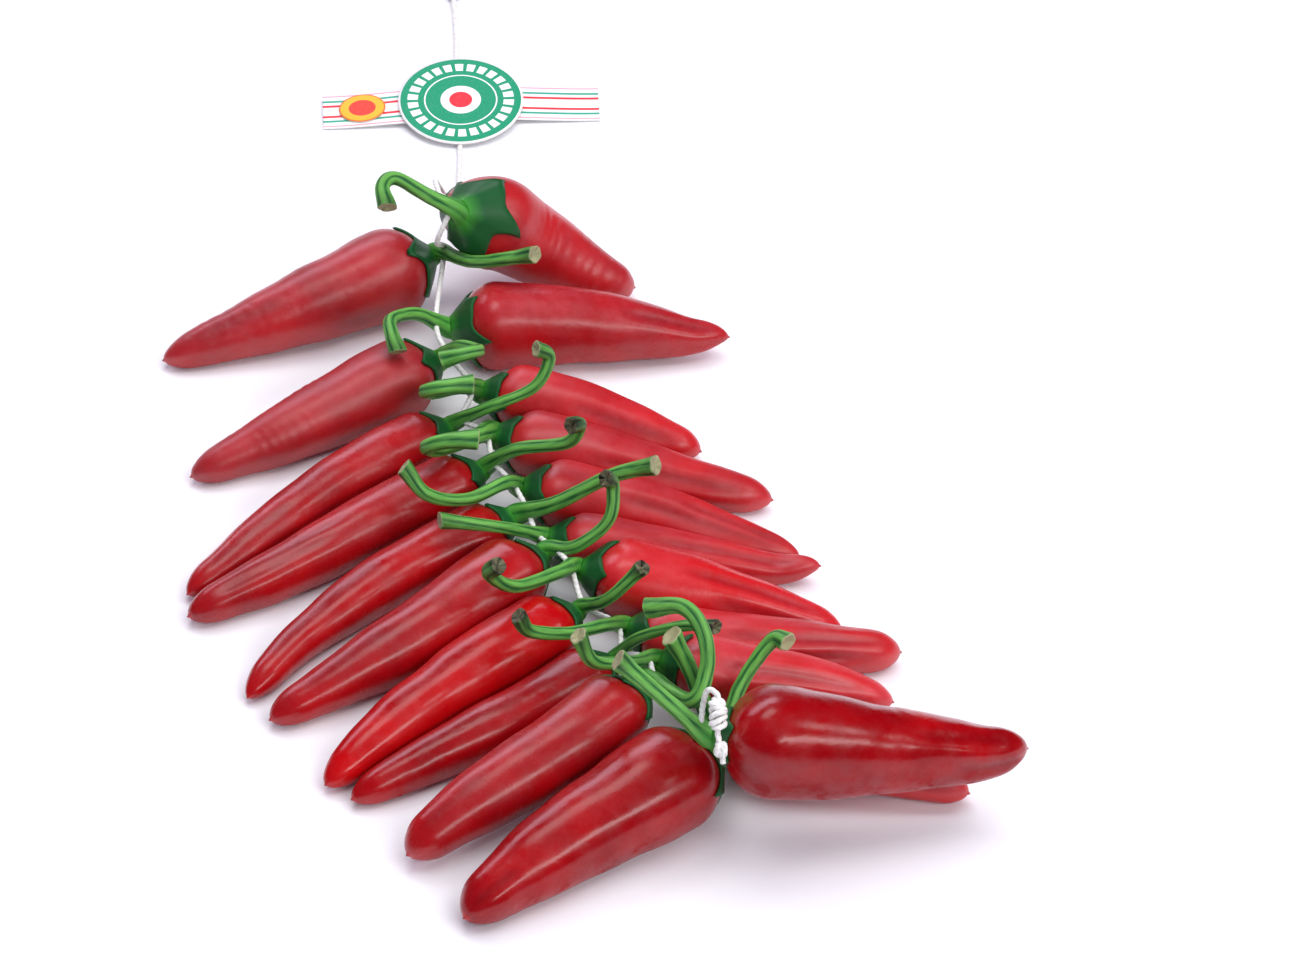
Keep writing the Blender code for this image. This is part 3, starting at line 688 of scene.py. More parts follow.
@dataclass(frozen=True)
class PrintedPaper:
    """Uncoated paper printed with flat inks: matt, with a fine tooth and slightly broken ink."""

    name: str
    stops: tuple[tuple[float, str], ...]    # from this distance in mm on, this ink
    ellipse: tuple[float, float, float] = (1.0, 1.0, 0.0)   # how distance weighs x and y
    dashes: DashRing | None = None
    back: str = "#EDEBE6"
    reach: float = 30.0                     # the longest distance
    tooth_scale: float = 2.2                # about half a millimetre; real paper's is finer
    tooth_height_mm: float = 0.06
    wear: tuple[float, float] = (0.58, 0.75)    # of the tooth, over which the ink breaks
    most_wear: float = 0.22
    roughness: tuple[float, float] = (0.62, 0.45)

    def material(self) -> bpy.types.Material:
        """Build the print's material.

        Returns:
            The material.
        """
        material, shader = principled(self.name, IOR=1.5, Specular_IOR_Level=0.35)
        tree = material.node_tree
        layout = add_node(tree, "ShaderNodeAttribute", attribute_name="print").outputs["Vector"]
        weighed = add_node(tree, "ShaderNodeVectorMath", {0: layout, 1: self.ellipse},
                           operation="MULTIPLY")
        reach = add_node(tree, "ShaderNodeVectorMath", {0: weighed.outputs[0]},
                         operation="LENGTH").outputs["Value"]
        share = add_node(tree, "ShaderNodeMath", {0: reach, 1: self.reach}, operation="DIVIDE")
        inks = add_node(tree, "ShaderNodeValToRGB", {0: share.outputs[0]})
        inks.color_ramp.interpolation = "CONSTANT"
        for number, (start, colour) in enumerate(self.stops):
            if number > 1:
                inks.color_ramp.elements.new(1.0)
            inks.color_ramp.elements[number].color = linear(colour)
            inks.color_ramp.elements[number].position = start / self.reach
        printed = inks.outputs[0]
        if self.dashes:
            printed = self.dashed(tree, layout, reach, printed)
        side = add_node(tree, "ShaderNodeSeparateXYZ", {0: layout})
        face = add_node(tree, "ShaderNodeMath", {0: side.outputs[2], 1: 0.5},
                        operation="GREATER_THAN")
        faced = add_node(tree, "ShaderNodeMix", {
            0: face.outputs[0], 6: linear(self.back), 7: printed}, data_type="RGBA")
        tooth = add_node(tree, "ShaderNodeTexNoise", {
            "Vector": layout, "Scale": self.tooth_scale, "Detail": 4.0}).outputs["Fac"]
        worn = add_node(tree, "ShaderNodeMapRange", {
            "Value": tooth, "From Min": self.wear[0], "From Max": self.wear[1],
            "To Max": self.most_wear})
        broken = add_node(tree, "ShaderNodeMix", {
            0: worn.outputs[0], 6: faced.outputs[2], 7: linear(self.back)}, data_type="RGBA")
        rough = add_node(tree, "ShaderNodeMapRange", {
            "Value": tooth, "To Min": self.roughness[0], "To Max": self.roughness[1]})
        bump = add_node(tree, "ShaderNodeBump", {
            "Height": tooth, "Strength": 1.0, "Distance": self.tooth_height_mm * MM})
        fill(tree, shader, {"Base Color": broken.outputs[2], "Roughness": rough.outputs[0],
                            "Normal": bump.outputs[0]})
        return material

    def dashed(self, tree: bpy.types.NodeTree, layout: bpy.types.NodeSocket,
               reach: bpy.types.NodeSocket, under: bpy.types.NodeSocket) -> bpy.types.NodeSocket:
        """Print the ring of dashes.

        Args:
            tree: the material's node tree.
            layout: the place on the print.
            reach: the distance from its middle.
            under: the colour under the dashes.

        Returns:
            The colour with the dashes.
        """
        ring = self.dashes
        spot = add_node(tree, "ShaderNodeSeparateXYZ", {0: layout})
        mask = add_node(tree, "ShaderNodeMath", {0: spot.outputs[1], 1: spot.outputs[0]},
                        operation="ARCTAN2")
        for operation, value in (("MULTIPLY", ring.count / math.tau), ("PINGPONG", 0.5),
                                 ("GREATER_THAN", ring.gap)):
            mask = add_node(tree, "ShaderNodeMath", {0: mask.outputs[0], 1: value},
                            operation=operation)
        for operation, edge in (("GREATER_THAN", ring.inner), ("LESS_THAN", ring.outer)):
            inside = add_node(tree, "ShaderNodeMath", {0: reach, 1: edge}, operation=operation)
            mask = add_node(tree, "ShaderNodeMath", {0: mask.outputs[0], 1: inside.outputs[0]},
                            operation="MULTIPLY")
        dashed = add_node(tree, "ShaderNodeMix", {
            0: mask.outputs[0], 6: under, 7: linear(ring.ink)}, data_type="RGBA")
        return dashed.outputs[2]


GREEN_INK = "#12996F"
RED_INK = "#E8323F"
PAPER_WHITE = "#F8F8F6"

# Stiff offset-printed card: flat dense inks with clean edges.
CARD_PRINT = PrintedPaper(
    "card_printed_offset",
    ((0.0, RED_INK), (4.6, PAPER_WHITE), (8.2, GREEN_INK), (14.2, PAPER_WHITE),
     (14.8, GREEN_INK), (24.4, PAPER_WHITE)),
    dashes=DashRing(17.4, 21.6, 26))
# Plain printed band paper: white, with thin stripes along it.
BAND_PRINT = PrintedPaper(
    "band_printed_paper",
    ((0.0, PAPER_WHITE), (2.4, RED_INK), (3.7, PAPER_WHITE), (5.2, "#3AA98D"),
     (6.4, PAPER_WHITE), (8.4, "#F2A0B4"), (9.1, PAPER_WHITE)),
    ellipse=(0.0, 1.0, 0.0))
# Satin sticker paper: a little shinier than the band.
STICKER_PRINT = PrintedPaper(
    "sticker_printed_satin",
    ((0.0, "#E8402F"), (5.4, "#F9B92C"), (8.7, "#EE7A33")),
    ellipse=(1.0, 9.5 / 8.0, 0.0), roughness=(0.5, 0.32))


@dataclass(frozen=True)
class SweptFloor:
    """Matt white seamless paper: nearly even, with a faint cool tone where it is shaded."""

    tone: str = "#F7F7FA"
    flecks: str = "#F4F4F8"
    flecks_per_metre: float = 900.0

    def material(self) -> bpy.types.Material:
        """Build the floor's material.

        Returns:
            The material.
        """
        material, shader = principled("seamless_paper", Roughness=0.9, Specular_IOR_Level=0.1)
        tree = material.node_tree
        grain = add_node(tree, "ShaderNodeTexNoise", {
            "Scale": self.flecks_per_metre, "Detail": 2.0})
        tint = add_node(tree, "ShaderNodeMix", {
            0: grain.outputs["Fac"], 6: linear(self.tone), 7: linear(self.flecks)},
            data_type="RGBA")
        fill(tree, shader, {"Base Color": tint.outputs[2]})
        return material


# ---- pods -------------------------------------------------------------------

SHOULDER_PER_WIDTH = 0.42
TIP_SHARE = 0.10
LOBE_DEPTH = 0.025                  # over the radius, along the whole pod
SHOULDER_LOBES = 0.05               # and so much more at the shoulder
SHOULDER_FADE = 0.16                # share of the length over which that fades
OVAL_DEPTH = 0.02
OVAL_FADE = 0.5                     # share of the oval that is lost by the tip
SWELLS = ((1.0, 1.0, 2.3), (2.3, 0.6, 5.1))     # of the girth: pitch, height, phase over the seed
STRAY_PHASE = 7                     # of the pod's wander, over the seed
PRESSED = 0.076                     # the underside lies this share of the radius flatter
PRESSED_REACH = 0.55                # radians to each side
FLOOR_GAP = 0.05                    # least height of the skin over the surface
SWERVE_PEAK = 6.75                  # t (1 - t)^2 peaks at 1 over this
HOOK_SPAN = (0.7, 1.05)             # shares of the length over which the tip turns
CURL_SPAN = (0.75, 1.0)
SEAT_SPAN = 0.05                    # the stalk's seat faces away from this share of the length
TIP_SPAN = 0.03                     # and the tip's point away from this
THIN_END = 4.0                      # the relief fades where the radius is less
DIMPLE_SPAN = (0.1, 0.6)            # of the noise, over which a dimple deepens
CREASE_FADE = (0.25, 0.7)           # shares of a crease where it is deep at last, and fades
RIDGE_HEIGHT = 0.35                 # of the skin beside a crease, over its depth
RIDGE_PLACE = 1.9                   # from the crease's middle, over its width
UPPER_SIDE = (-0.6, 0.7)            # height round the pod over which wrinkles come in
WRINKLE_SPAN = (0.25, 0.5)          # and shares of the length
WRINKLE_STRAY = 0.9                 # how far the drift bends a wrinkle, over the spacing
WRINKLE_BREAK = (0.6, 2.2)          # share of the height everywhere, and what the drift adds
SHEEN_BLOOM_SIDE = (-0.35, 0.9)           # height round the pod over which the painted sheen comes in, on the upper side
SHEEN_BLOOM_PATCHES = (0.75, 0.6)         # share of it everywhere, and what its patches add
CUTICLE_SIDE = (-0.4, 0.35)         # height round the pod over which the cuticle thickens
THIN_CUTICLE = 0.35                 # of the cuticle is left on the underside
DENT_SEED = 40                      # these keep each pattern from repeating another
WRINKLE_SEED = 80
BLOOM_SEED = 120
PATTERN_SHIFT = 10                  # between two pieces' patterns, over their seeds
FIRST_SEED = 1.7
SEED_STEP = 3.1
GIVE_WAY = 0.52                     # of the depth by which two pods overlap, each gives


@dataclass
class Pod:
    """One pod: its skin as a grid of points along it and round it."""

    chilli: Chilli
    seed: float
    sides: int = 88
    shoulder_rings: int = 16
    body_rings: int = 96
    tip_rings: int = 10
    nipple: float = 0.9                 # the tip's small point
    lump_size: float = 19.0
    lump_height: float = 0.5
    ripple_size: float = 7.0
    ripple_height: float = 0.02
    ripple_stretch: float = 0.6         # below 1 draws the ripples out along the pod
    dimple_size: float = 3.4
    wrinkle_drift: float = 14.0         # size of the patches that bend and break wrinkles
    bloom_patch: float = 16.0
    girth_size: float = 26.0            # between one swelling of the pod and the next
    girth_share: float = 0.016
    wander: float = 0.8                 # how far the pod strays from an even bow
    points: np.ndarray = field(init=False)
    along: np.ndarray = field(init=False)
    angles: np.ndarray = field(init=False)
    fold: np.ndarray = field(init=False)

    def __post_init__(self) -> None:
        """Lay out the skin."""
        stations = self.stations()
        angles = np.linspace(0.0, math.tau, self.sides, endpoint=False)
        self.along, self.angles = np.meshgrid(stations, angles, indexing="ij")
        height, self.fold = self.relief(self.along, self.angles)
        self.points = self.skin(self.along, self.angles, height)

    def shoulder(self) -> float:
        """Share of the length that the domed shoulder takes."""
        return SHOULDER_PER_WIDTH * self.chilli.width / self.chilli.length

    def stations(self) -> np.ndarray:
        """Shares of the length at which rings stand, closer together at both ends.

        Returns:
            The shares, from the shoulder to the tip.
        """
        rise = np.linspace(0.0, math.pi / 2, self.shoulder_rings + 1)[1:]
        fall = np.linspace(0.0, math.pi / 2, self.tip_rings + 1)[1:-1]
        shoulder = self.shoulder() * (1 - np.cos(rise))
        body = np.linspace(shoulder[-1], 1 - TIP_SHARE, self.body_rings)[1:]
        tip = 1 - TIP_SHARE + TIP_SHARE * np.sin(fall)
        return np.concatenate((shoulder, body, tip))

    def full_radius(self, t: np.ndarray) -> np.ndarray:
        """Radius of the tapering body, without its rounded ends."""
        c = self.chilli
        return c.width / 2 * (1 - (1 - c.blunt) * t ** c.taper)

    def radius(self, t: np.ndarray) -> np.ndarray:
        """Radius of the pod at shares of its length.

        Args:
            t: shares of the length.

        Returns:
            The radius, in mm.
        """
        dome = np.minimum(t / self.shoulder(), 1.0)
        end = np.maximum((t - (1 - TIP_SHARE)) / TIP_SHARE, 0.0)
        return (self.full_radius(t) * np.sqrt(1 - (1 - dome) ** 2)
                * np.sqrt(np.maximum(1 - end ** 2, 0.0)))

    def swelling(self, t: np.ndarray) -> np.ndarray:
        """How much fuller or leaner the pod is at shares of its length.

        Args:
            t: shares of the length.

        Returns:
            What to add to a radius of one.
        """
        turns = self.chilli.length / self.girth_size
        return self.girth_share * sum(
            height * np.sin(pitch * math.pi * turns * t + self.seed * phase)
            for pitch, height, phase in SWELLS)

    def lobes(self, t: np.ndarray, angle: np.ndarray) -> np.ndarray:
        """The pod's cross-section over a circle: three soft lobes, bolder at the shoulder.

        Args:
            t: shares of the length.
            angle: angles round the pod.

        Returns:
            The factor on the radius.
        """
        bold = LOBE_DEPTH + SHOULDER_LOBES * np.exp(-(t / SHOULDER_FADE) ** 2)
        three = np.cos(3 * angle + math.radians(self.chilli.heading * 3))
        oval = OVAL_DEPTH * (1 - OVAL_FADE * t) * np.cos(2 * angle + self.seed * 4)
        return 1 + bold * three + oval

    def lift(self, t: np.ndarray) -> np.ndarray:
        """Height of the underside at shares of the length."""
        low, high = self.chilli.lifts
        return high + (low - high) * (1 - t) ** self.chilli.dive

    def centre(self, t: np.ndarray) -> np.ndarray:
        """Centre of the pod at shares of its length.

        Args:
            t: shares of the length.

        Returns:
            The centres, in mm.
        """
        c = self.chilli
        heading = math.radians(c.heading)
        ahead = np.array((math.cos(heading), math.sin(heading), 0.0))
        left = np.array((-ahead[1], ahead[0], 0.0))
        t = np.asarray(t, float)[..., None]
        centre = np.array((*c.seat, 0.0)) + ahead * c.length * t
        stray = self.wander * np.sin(math.tau * t) * math.sin(self.seed * STRAY_PHASE)
        swerve = c.swerve * SWERVE_PEAK * t * (1 - t) ** 2
        hook = c.hook * smoothstep(*HOOK_SPAN, t) ** 1.5
        centre = centre + left * (c.sway * np.sin(math.pi * t) + swerve + hook + stray)
        body = np.maximum(t[..., 0], self.shoulder())
        centre[..., 2] = (1 - PRESSED) * self.full_radius(body) + self.lift(t[..., 0])
        centre[..., 2] += c.curl * smoothstep(*CURL_SPAN, t[..., 0]) ** 2
        return centre

    def frame(self, t: np.ndarray) -> tuple[np.ndarray, np.ndarray]:
        """Left and up directions across the pod's axis.

        Args:
            t: shares of the length.

        Returns:
            The left and the up directions.
        """
        step = 0.03
        ahead = unit(self.centre(np.minimum(t + step, 1.0))
                     - self.centre(np.maximum(t - step, 0.0)))
        left = unit(np.stack((-ahead[..., 1], ahead[..., 0], np.zeros(ahead.shape[:-1])), axis=-1))
        return left, np.cross(ahead, left)

    def outward(self) -> np.ndarray:
        """Direction out of the pod at the stalk's seat."""
        return unit(self.centre(np.array(0.0)) - self.centre(np.array(SEAT_SPAN)))

    def unrolled(self, t: np.ndarray, angle: np.ndarray) -> np.ndarray:
        """The skin's own coordinates in mm: across, across and along the pod.

        Args:
            t: shares of the length.
            angle: angles round the pod.

        Returns:
            The coordinates.
        """
        radius = self.full_radius(t)
        return np.stack((radius * np.cos(angle), radius * np.sin(angle),
                         t * self.chilli.length), axis=-1)

    def relief(self, t: np.ndarray, angle: np.ndarray) -> tuple[np.ndarray, np.ndarray]:
        """Lumps, dimples, wrinkles and creases of the skin.

        Args:
            t: shares of the length.
            angle: angles round the pod.

        Returns:
            Height over the smooth skin in mm, and how deep in a crease each point is.
        """
        c = self.chilli
        across = self.unrolled(t, angle)
        height = self.lump_height * noise_at(across, self.lump_size, self.seed)
        height += self.ripple_height * noise_at(across * (1, 1, self.ripple_stretch),
                                                self.ripple_size, self.seed)
        dents = noise_at(across, self.dimple_size, self.seed + DENT_SEED)
        height -= c.dimple * smoothstep(*DIMPLE_SPAN, dents)
        crest, spacing = c.wrinkle
        if crest:
            drift = noise_at(across, self.wrinkle_drift, self.seed + WRINKLE_SEED)
            wave = np.sin(math.tau * (across[..., 2] / spacing + WRINKLE_STRAY * drift))
            upper = smoothstep(*UPPER_SIDE, np.sin(angle)) * smoothstep(*WRINKLE_SPAN, t)
            height += crest * wave * upper * (WRINKLE_BREAK[0] + WRINKLE_BREAK[1] * drift)
        fold = np.zeros_like(height)
        for crease in c.creases:
            share = (t - crease.start) / (crease.end - crease.start)
            line = math.radians(crease.angle) + math.radians(crease.drift) * share
            apart = np.abs((angle - line + math.pi) % math.tau - math.pi) * self.full_radius(t)
            apart = apart / crease.width
            ends = smoothstep(0.0, CREASE_FADE[0], share) * smoothstep(1.0, CREASE_FADE[1], share)
            dip = np.exp(-apart ** 2) * ends
            ridge = RIDGE_HEIGHT * np.exp(-(apart - RIDGE_PLACE) ** 2) * ends
            height += crease.depth * (ridge - dip)
            fold = np.maximum(fold, dip)
        return height, fold

    def skin(self, t: np.ndarray, angle: np.ndarray, height: np.ndarray | float = 0.0) -> np.ndarray:
        """Points of the skin.

        Args:
            t: shares of the length.
            angle: angles round the pod.
            height: relief over the smooth skin, in mm.

        Returns:
            The points, in mm.
        """
        left, up = self.frame(t)
        radius = self.radius(t)
        lobed = self.lobes(t, angle) + self.swelling(t)
        below = (angle + math.pi / 2 + math.pi) % math.tau - math.pi
        pressed = 1 - PRESSED * np.exp(-(below / PRESSED_REACH) ** 2)
        reach = radius * lobed * pressed + height * np.minimum(radius / THIN_END, 1.0)
        points = self.centre(t) + round_axis(left, up, angle) * reach[..., None]
        points[..., 2] = np.maximum(points[..., 2], FLOOR_GAP)
        return points

    def loft(self) -> Loft:
        """The pod's skin as a closed loft.

        Returns:
            The loft, with all that the skin's material reads.
        """
        unrolled = self.unrolled(self.along, self.angles)
        upward = np.sin(self.angles)
        # The bloom is painted sheen: paler on the upper side, in patches.
        patchy = noise_at(unrolled, self.bloom_patch, self.seed + BLOOM_SEED)
        bloom_sheen = smoothstep(*SHEEN_BLOOM_SIDE, upward) * (SHEEN_BLOOM_PATCHES[0] + SHEEN_BLOOM_PATCHES[1] * patchy)
        thick = smoothstep(*CUTICLE_SIDE, upward)
        ends = self.centre(np.array((0.0, 1.0)))
        ahead = unit(ends[1] - self.centre(np.array(1 - TIP_SPAN)))
        return Loft(self.points, ends[0], ends[1] + ahead * self.nipple,
                    {"skin": unrolled + self.seed * PATTERN_SHIFT, "along": self.along, "fold": self.fold,
                     "ripeness": np.full_like(self.along, self.chilli.ripeness),
                     "gloss": np.full_like(self.along, self.chilli.gloss),
                     "bloom_sheen": self.chilli.bloom_sheen * bloom_sheen,
                     "cuticle": THIN_CUTICLE + (1 - THIN_CUTICLE) * thick})

    def tree(self) -> BVHTree:
        """The skin as a search tree, in mm."""
        loft = self.loft()
        return BVHTree.FromPolygons(loft.points().tolist(), loft.faces())


@dataclass
class Heap:
    """The pods together: where two press on each other, both give way a little."""

    pods: list[Pod]
    passes: int = 2
    deepest: float = 6.0
    spread: int = 3                     # smoothing steps of the dents

    def settle(self) -> None:
        """Press neighbouring pods apart."""
        for _ in range(self.passes):
            trees = [pod.tree() for pod in self.pods]
            boxes = [(pod.points.min((0, 1)), pod.points.max((0, 1))) for pod in self.pods]
            shifts = [np.zeros_like(pod.points) for pod in self.pods]
            for a, pod in enumerate(self.pods):
                for b, (low, high) in enumerate(boxes):
                    if a != b and np.all(boxes[a][0] < high) and np.all(boxes[a][1] > low):
                        inside = np.all((pod.points > low) & (pod.points < high), axis=-1)
                        self.press(pod, trees[b], np.argwhere(inside), shifts[a])
            for pod, shift in zip(self.pods, shifts):
                for _ in range(self.spread):
                    shift = (shift * 2 + np.roll(shift, 1, 1) + np.roll(shift, -1, 1)) / 4
                pod.points = pod.points + shift
                pod.points[..., 2] = np.maximum(pod.points[..., 2], FLOOR_GAP)

    def press(self, pod: Pod, other: BVHTree, places: np.ndarray, shift: np.ndarray) -> None:
        """Add half of each point's depth inside another pod to its shift.

        Args:
            pod: the pod that gives way.
            other: the pod that it presses on.
            places: rings and sides of the points to look at.
            shift: how far each point moves, added to in place.
        """
        for ring, side in places:
            point = Vector(pod.points[ring, side])
            nearest, normal, _, _ = other.find_nearest(point, self.deepest)
            if nearest is not None and (point - nearest).dot(normal) < 0:
                shift[ring, side] += np.array(nearest - point) * GIVE_WAY


# ---- stalks -----------------------------------------------------------------

FLARE_REACH = 2.4                   # the stalk's line starts so far out of the pod
FLARE_TOP = 0.8                     # of that, where the stem's first ring stands
LEAD_REACH = 7.0                    # its second point lies so far out
LEAD_RISE = 2.5                     # and so much higher
STALK_PROFILE = (                   # share of the length, radius factor
    (0.00, 1.40), (0.12, 1.05), (0.26, 0.80), (0.60, 0.72), (0.88, 0.80), (1.00, 1.04))
PROFILE_STEPS = 101                 # of the profile when it is softened
PROFILE_SOFTNESS = 4                # steps to each side that are evened out
THREAD_SHARE = 0.16                 # the twine goes through here
CALYX_REACH = 0.76                  # the calyx's radius over the pod's
CALYX_SIDE = 0.92                   # of that, between its corners
CALYX_WAVES = ((2, 3, 0.06), (7, 0, 0.04))      # waves round it, phase over the seed, height
CALYX_RIM = (1.01, 0.5)             # its rim: reach, and height over its thickness
CALYX_RIDGE = 0.9                   # how high the ribs run out over it
SHOULDER_EDGE = 0.98                # farthest reach over the pod's shoulder
CALYX_INSIDE = (0.35, 0.7, 0.97)    # its underside's rings, over its reach
CALYX_GAP = 0.06                    # between its underside and the skin
FOOT_WIDTH = 1.5                    # of the flare's foot, over the stalk's
FOOT_RISE = 1.3
FOOT_MOST = 0.5                     # widest foot, over the pod's radius
RIB_LEVEL = 0.6                     # between groove and rib, where the radius is the stalk's
GRAIN_RADIUS = 3                    # the rind's grain is read round a circle of this size
FIBRE_STRETCH = 7                   # and its fibres are drawn out so far
CALYX_FIBRES = 8.0                  # their length over the calyx
CUT_FIBRES = 0.6                    # and between two rings of the cut
CUT_RINGS = (                       # share of the radius, rise
    (1.0, 0.0), (0.95, 0.35), (0.82, 0.4), (0.62, 0.0), (0.3, -0.35))
CUT_LEAN = (1.0, 0.4, 0.3)          # the way that a cut slants
CUT_TORN = 0.64                     # how uneven its middle is
CUT_HOLLOW = 0.5                    # how deep its middle lies
SLANTED_RINGS = 5
FREE_FROM = 0.2                     # share of the stalk from which it may bend aside
CLEARANCE = 1.05                    # over its radius
SEARCH_REACH = 12.0


@dataclass
class Stalk:
    """A green calyx hugging its pod's shoulder, and the ribbed stalk that grows out of it."""

    pod: Pod
    sides: int = 60
    ring_step: float = 0.8
    ribs: int = 5
    rib_height: float = 0.13            # over the radius
    rib_fullness: float = 0.8           # lower makes broader ribs and narrower grooves
    twist: float = 0.018                # turn of the ribs, in radians a millimetre
    corner: float = 0.30                # how far the calyx's corners reach out
    corner_point: float = 1.3           # higher makes them more pointed
    edge_thickness: float = 1.3
    flare_rings: int = 12
    slant: float = 0.9                  # how far the cut is out of square, in mm
    lumps: float = 0.05                 # over the radius
    lump_size: float = 5.0
    passes: int = 3                     # of bending it clear of the pods
    spread: int = 4                     # smoothing steps of each bend
    line: np.ndarray = field(init=False)

    def __post_init__(self) -> None:
        """Lay out the centreline."""
        self.line = self.path()

    def path(self) -> np.ndarray:
        """The stalk's centreline, from the calyx top to the cut end.

        Returns:
            The line's points, in mm.
        """
        seat = self.pod.centre(np.array(0.0))
        out = self.pod.outward()
        guides = [seat + out * FLARE_REACH, seat + out * LEAD_REACH + UP * LEAD_RISE]
        guides += [seat + np.array(p) for p in self.pod.chilli.stalk]
        return smooth_path(np.array(guides))

    def thread_point(self) -> np.ndarray:
        """Where the twine goes through the stalk."""
        path = self.path()
        return points_along(path, np.array([THREAD_SHARE * lengths_along(path)[-1]]))[0]

    def radius(self, share: np.ndarray) -> np.ndarray:
        """Radius of the stalk at shares of its length.

        Args:
            share: shares of the stalk's length.

        Returns:
            The radius, in mm.
        """
        shares, factors = zip(*STALK_PROFILE)
        fine = np.linspace(0.0, 1.0, PROFILE_STEPS)
        profile = np.pad(np.interp(fine, shares, factors), PROFILE_SOFTNESS, mode="edge")
        window = 2 * PROFILE_SOFTNESS + 1
        soft = np.convolve(profile, np.ones(window) / window, mode="valid")
        return self.pod.chilli.stalk_width / 2 * np.interp(share, fine, soft)

    def clear(self, trees: list[BVHTree]) -> None:
        """Lay the stalk on the pods that it crosses, not in them.

        Args:
            trees: the skins of all the pods.
        """
        path = resampled(self.line, 2.0)
        share = np.linspace(0.0, 1.0, len(path))
        radii = self.radius(share) * CLEARANCE
        for _ in range(self.passes):
            shift = np.zeros_like(path)
            for k, point in enumerate(path):
                if share[k] < FREE_FROM:
                    continue
                for tree in trees:
                    nearest, normal, _, distance = tree.find_nearest(
                        Vector(point), SEARCH_REACH)
                    if nearest is None:
                        continue
                    outside = (Vector(point) - nearest).dot(normal) > 0
                    short = radii[k] - (distance if outside else -distance)
                    if short > 0:
                        shift[k] += np.array(normal) * short
            for _ in range(self.spread):
                shift[1:-1] = (shift[:-2] + shift[1:-1] * 2 + shift[2:]) / 4
            path = path + shift
        self.line = smooth_path(path, 2)

    def rib(self, angle: np.ndarray, distance: np.ndarray | float) -> np.ndarray:
        """1 on a rib and 0 in a groove, at angles round the stalk and distances along it."""
        turn = self.ribs / 2 * (angle + self.pod.seed + self.twist * distance)
        return np.abs(np.cos(turn)) ** self.rib_fullness

    def calyx_reach(self, angle: np.ndarray) -> np.ndarray:
        """The calyx's radius over the pod's, with its blunt corners.

        Args:
            angle: angles round the pod.

        Returns:
            The reach at each angle.
        """
        turn = self.ribs / 2 * (angle + self.pod.seed)
        corner = (1 - np.abs(np.sin(turn))) ** self.corner_point
        uneven = sum(height * np.sin(waves * angle + self.pod.seed * phase)
                     for waves, phase, height in CALYX_WAVES)
        reach = CALYX_REACH * self.pod.chilli.calyx
        return reach * (CALYX_SIDE + self.corner * corner + uneven)

    def on_shoulder(self, reach: np.ndarray, angle: np.ndarray, height: float) -> np.ndarray:
        """Points over the pod's shoulder.

        Args:
            reach: distance from the pod's axis over its radius.
            angle: angles round the pod.
            height: distance out of the skin, in mm.

        Returns:
            The points, in mm.
        """
        reach = np.clip(reach, 0.0, SHOULDER_EDGE)
        t = self.pod.shoulder() * (1 - np.sqrt(1 - reach ** 2))
        left, up = self.pod.frame(t)
        across = round_axis(left, up, angle) * reach[..., None]
        normal = unit(across + self.pod.outward() * np.sqrt(1 - reach ** 2)[..., None])
        return self.pod.skin(t, angle) + normal * height

    def calyx_rings(self, angle: np.ndarray, first: np.ndarray) -> tuple[list, list]:
        """Rings from under the calyx, round its edge and up to the stalk's first ring.

        Args:
            angle: angles round the pod.
            first: the stalk's first ring.

        Returns:
            The rings, and each ring's place from -1 at the edge to 0 at the stalk.
        """
        reach = self.calyx_reach(angle)
        rings = [self.on_shoulder(reach * share, angle, CALYX_GAP) for share in CALYX_INSIDE]
        rim, level = CALYX_RIM
        rings.append(self.on_shoulder(reach * rim, angle, self.edge_thickness * level))
        edge = self.on_shoulder(reach * CALYX_INSIDE[-1], angle, self.edge_thickness)
        places = [-1.0] * len(rings)
        width = self.pod.chilli.width / 2
        foot_reach = min(float(self.radius(np.array(0.0))) * FOOT_WIDTH / width, FOOT_MOST)
        foot = self.on_shoulder(np.full_like(angle, foot_reach), angle,
                                self.edge_thickness + FOOT_RISE)
        rib = self.rib(angle, 0.0)[:, None]
        for u in np.linspace(0.0, 1.0, self.flare_rings)[:-1]:
            ring = (1 - u) ** 2 * edge + 2 * u * (1 - u) * foot + u ** 2 * first
            rings.append(ring + self.pod.outward() * (rib - 0.5) * CALYX_RIDGE * u * (1 - u) * 2)
            places.append(u - 1.0)
        return rings, places

    def loft(self) -> Loft:
        """The calyx and stalk as one closed loft.

        Returns:
            The loft, with all that the rind's material reads.
        """
        total = lengths_along(self.line)[-1]
        start = FLARE_REACH * FLARE_TOP
        count = round((total - start) / self.ring_step)
        distances = np.linspace(start, total, count)
        centres = points_along(self.line, distances)
        shares = distances / total
        angle = np.linspace(0.0, math.tau, self.sides, endpoint=False)
        left, _ = self.pod.frame(np.array(0.0))
        sides, ups = carried_frames(centres, left, self.pod.outward())
        around, far = np.meshgrid(angle, distances)
        rib = self.rib(around, far)
        grain = np.stack((np.cos(around) * GRAIN_RADIUS, np.sin(around) * GRAIN_RADIUS, far), -1)
        uneven = noise_at(grain, self.lump_size, self.pod.seed)
        radii = self.radius(shares)[:, None] * (
            1 + self.rib_height * (rib - RIB_LEVEL) + self.lumps * uneven)
        across = round_axis(sides[:, None], -ups[:, None], around)
        stem = centres[:, None] + across * radii[..., None]
        ahead = unit(centres[-1] - centres[-2])
        lean = across[-1] @ unit(np.array(CUT_LEAN))
        cut = []
        for shrink, rise in CUT_RINGS:
            ring = centres[-1] + across[-1] * (radii[-1] * shrink)[:, None]
            rough = CUT_TORN * uneven[-1] * (1 - shrink)
            cut.append(ring + ahead * (rise + self.slant * lean * shrink + rough)[:, None])
        for back in range(SLANTED_RINGS):
            ease = (1 - back / SLANTED_RINGS) ** 2
            stem[-1 - back] += ahead * (self.slant * lean * ease)[:, None]
        calyx, places = self.calyx_rings(angle, stem[0])
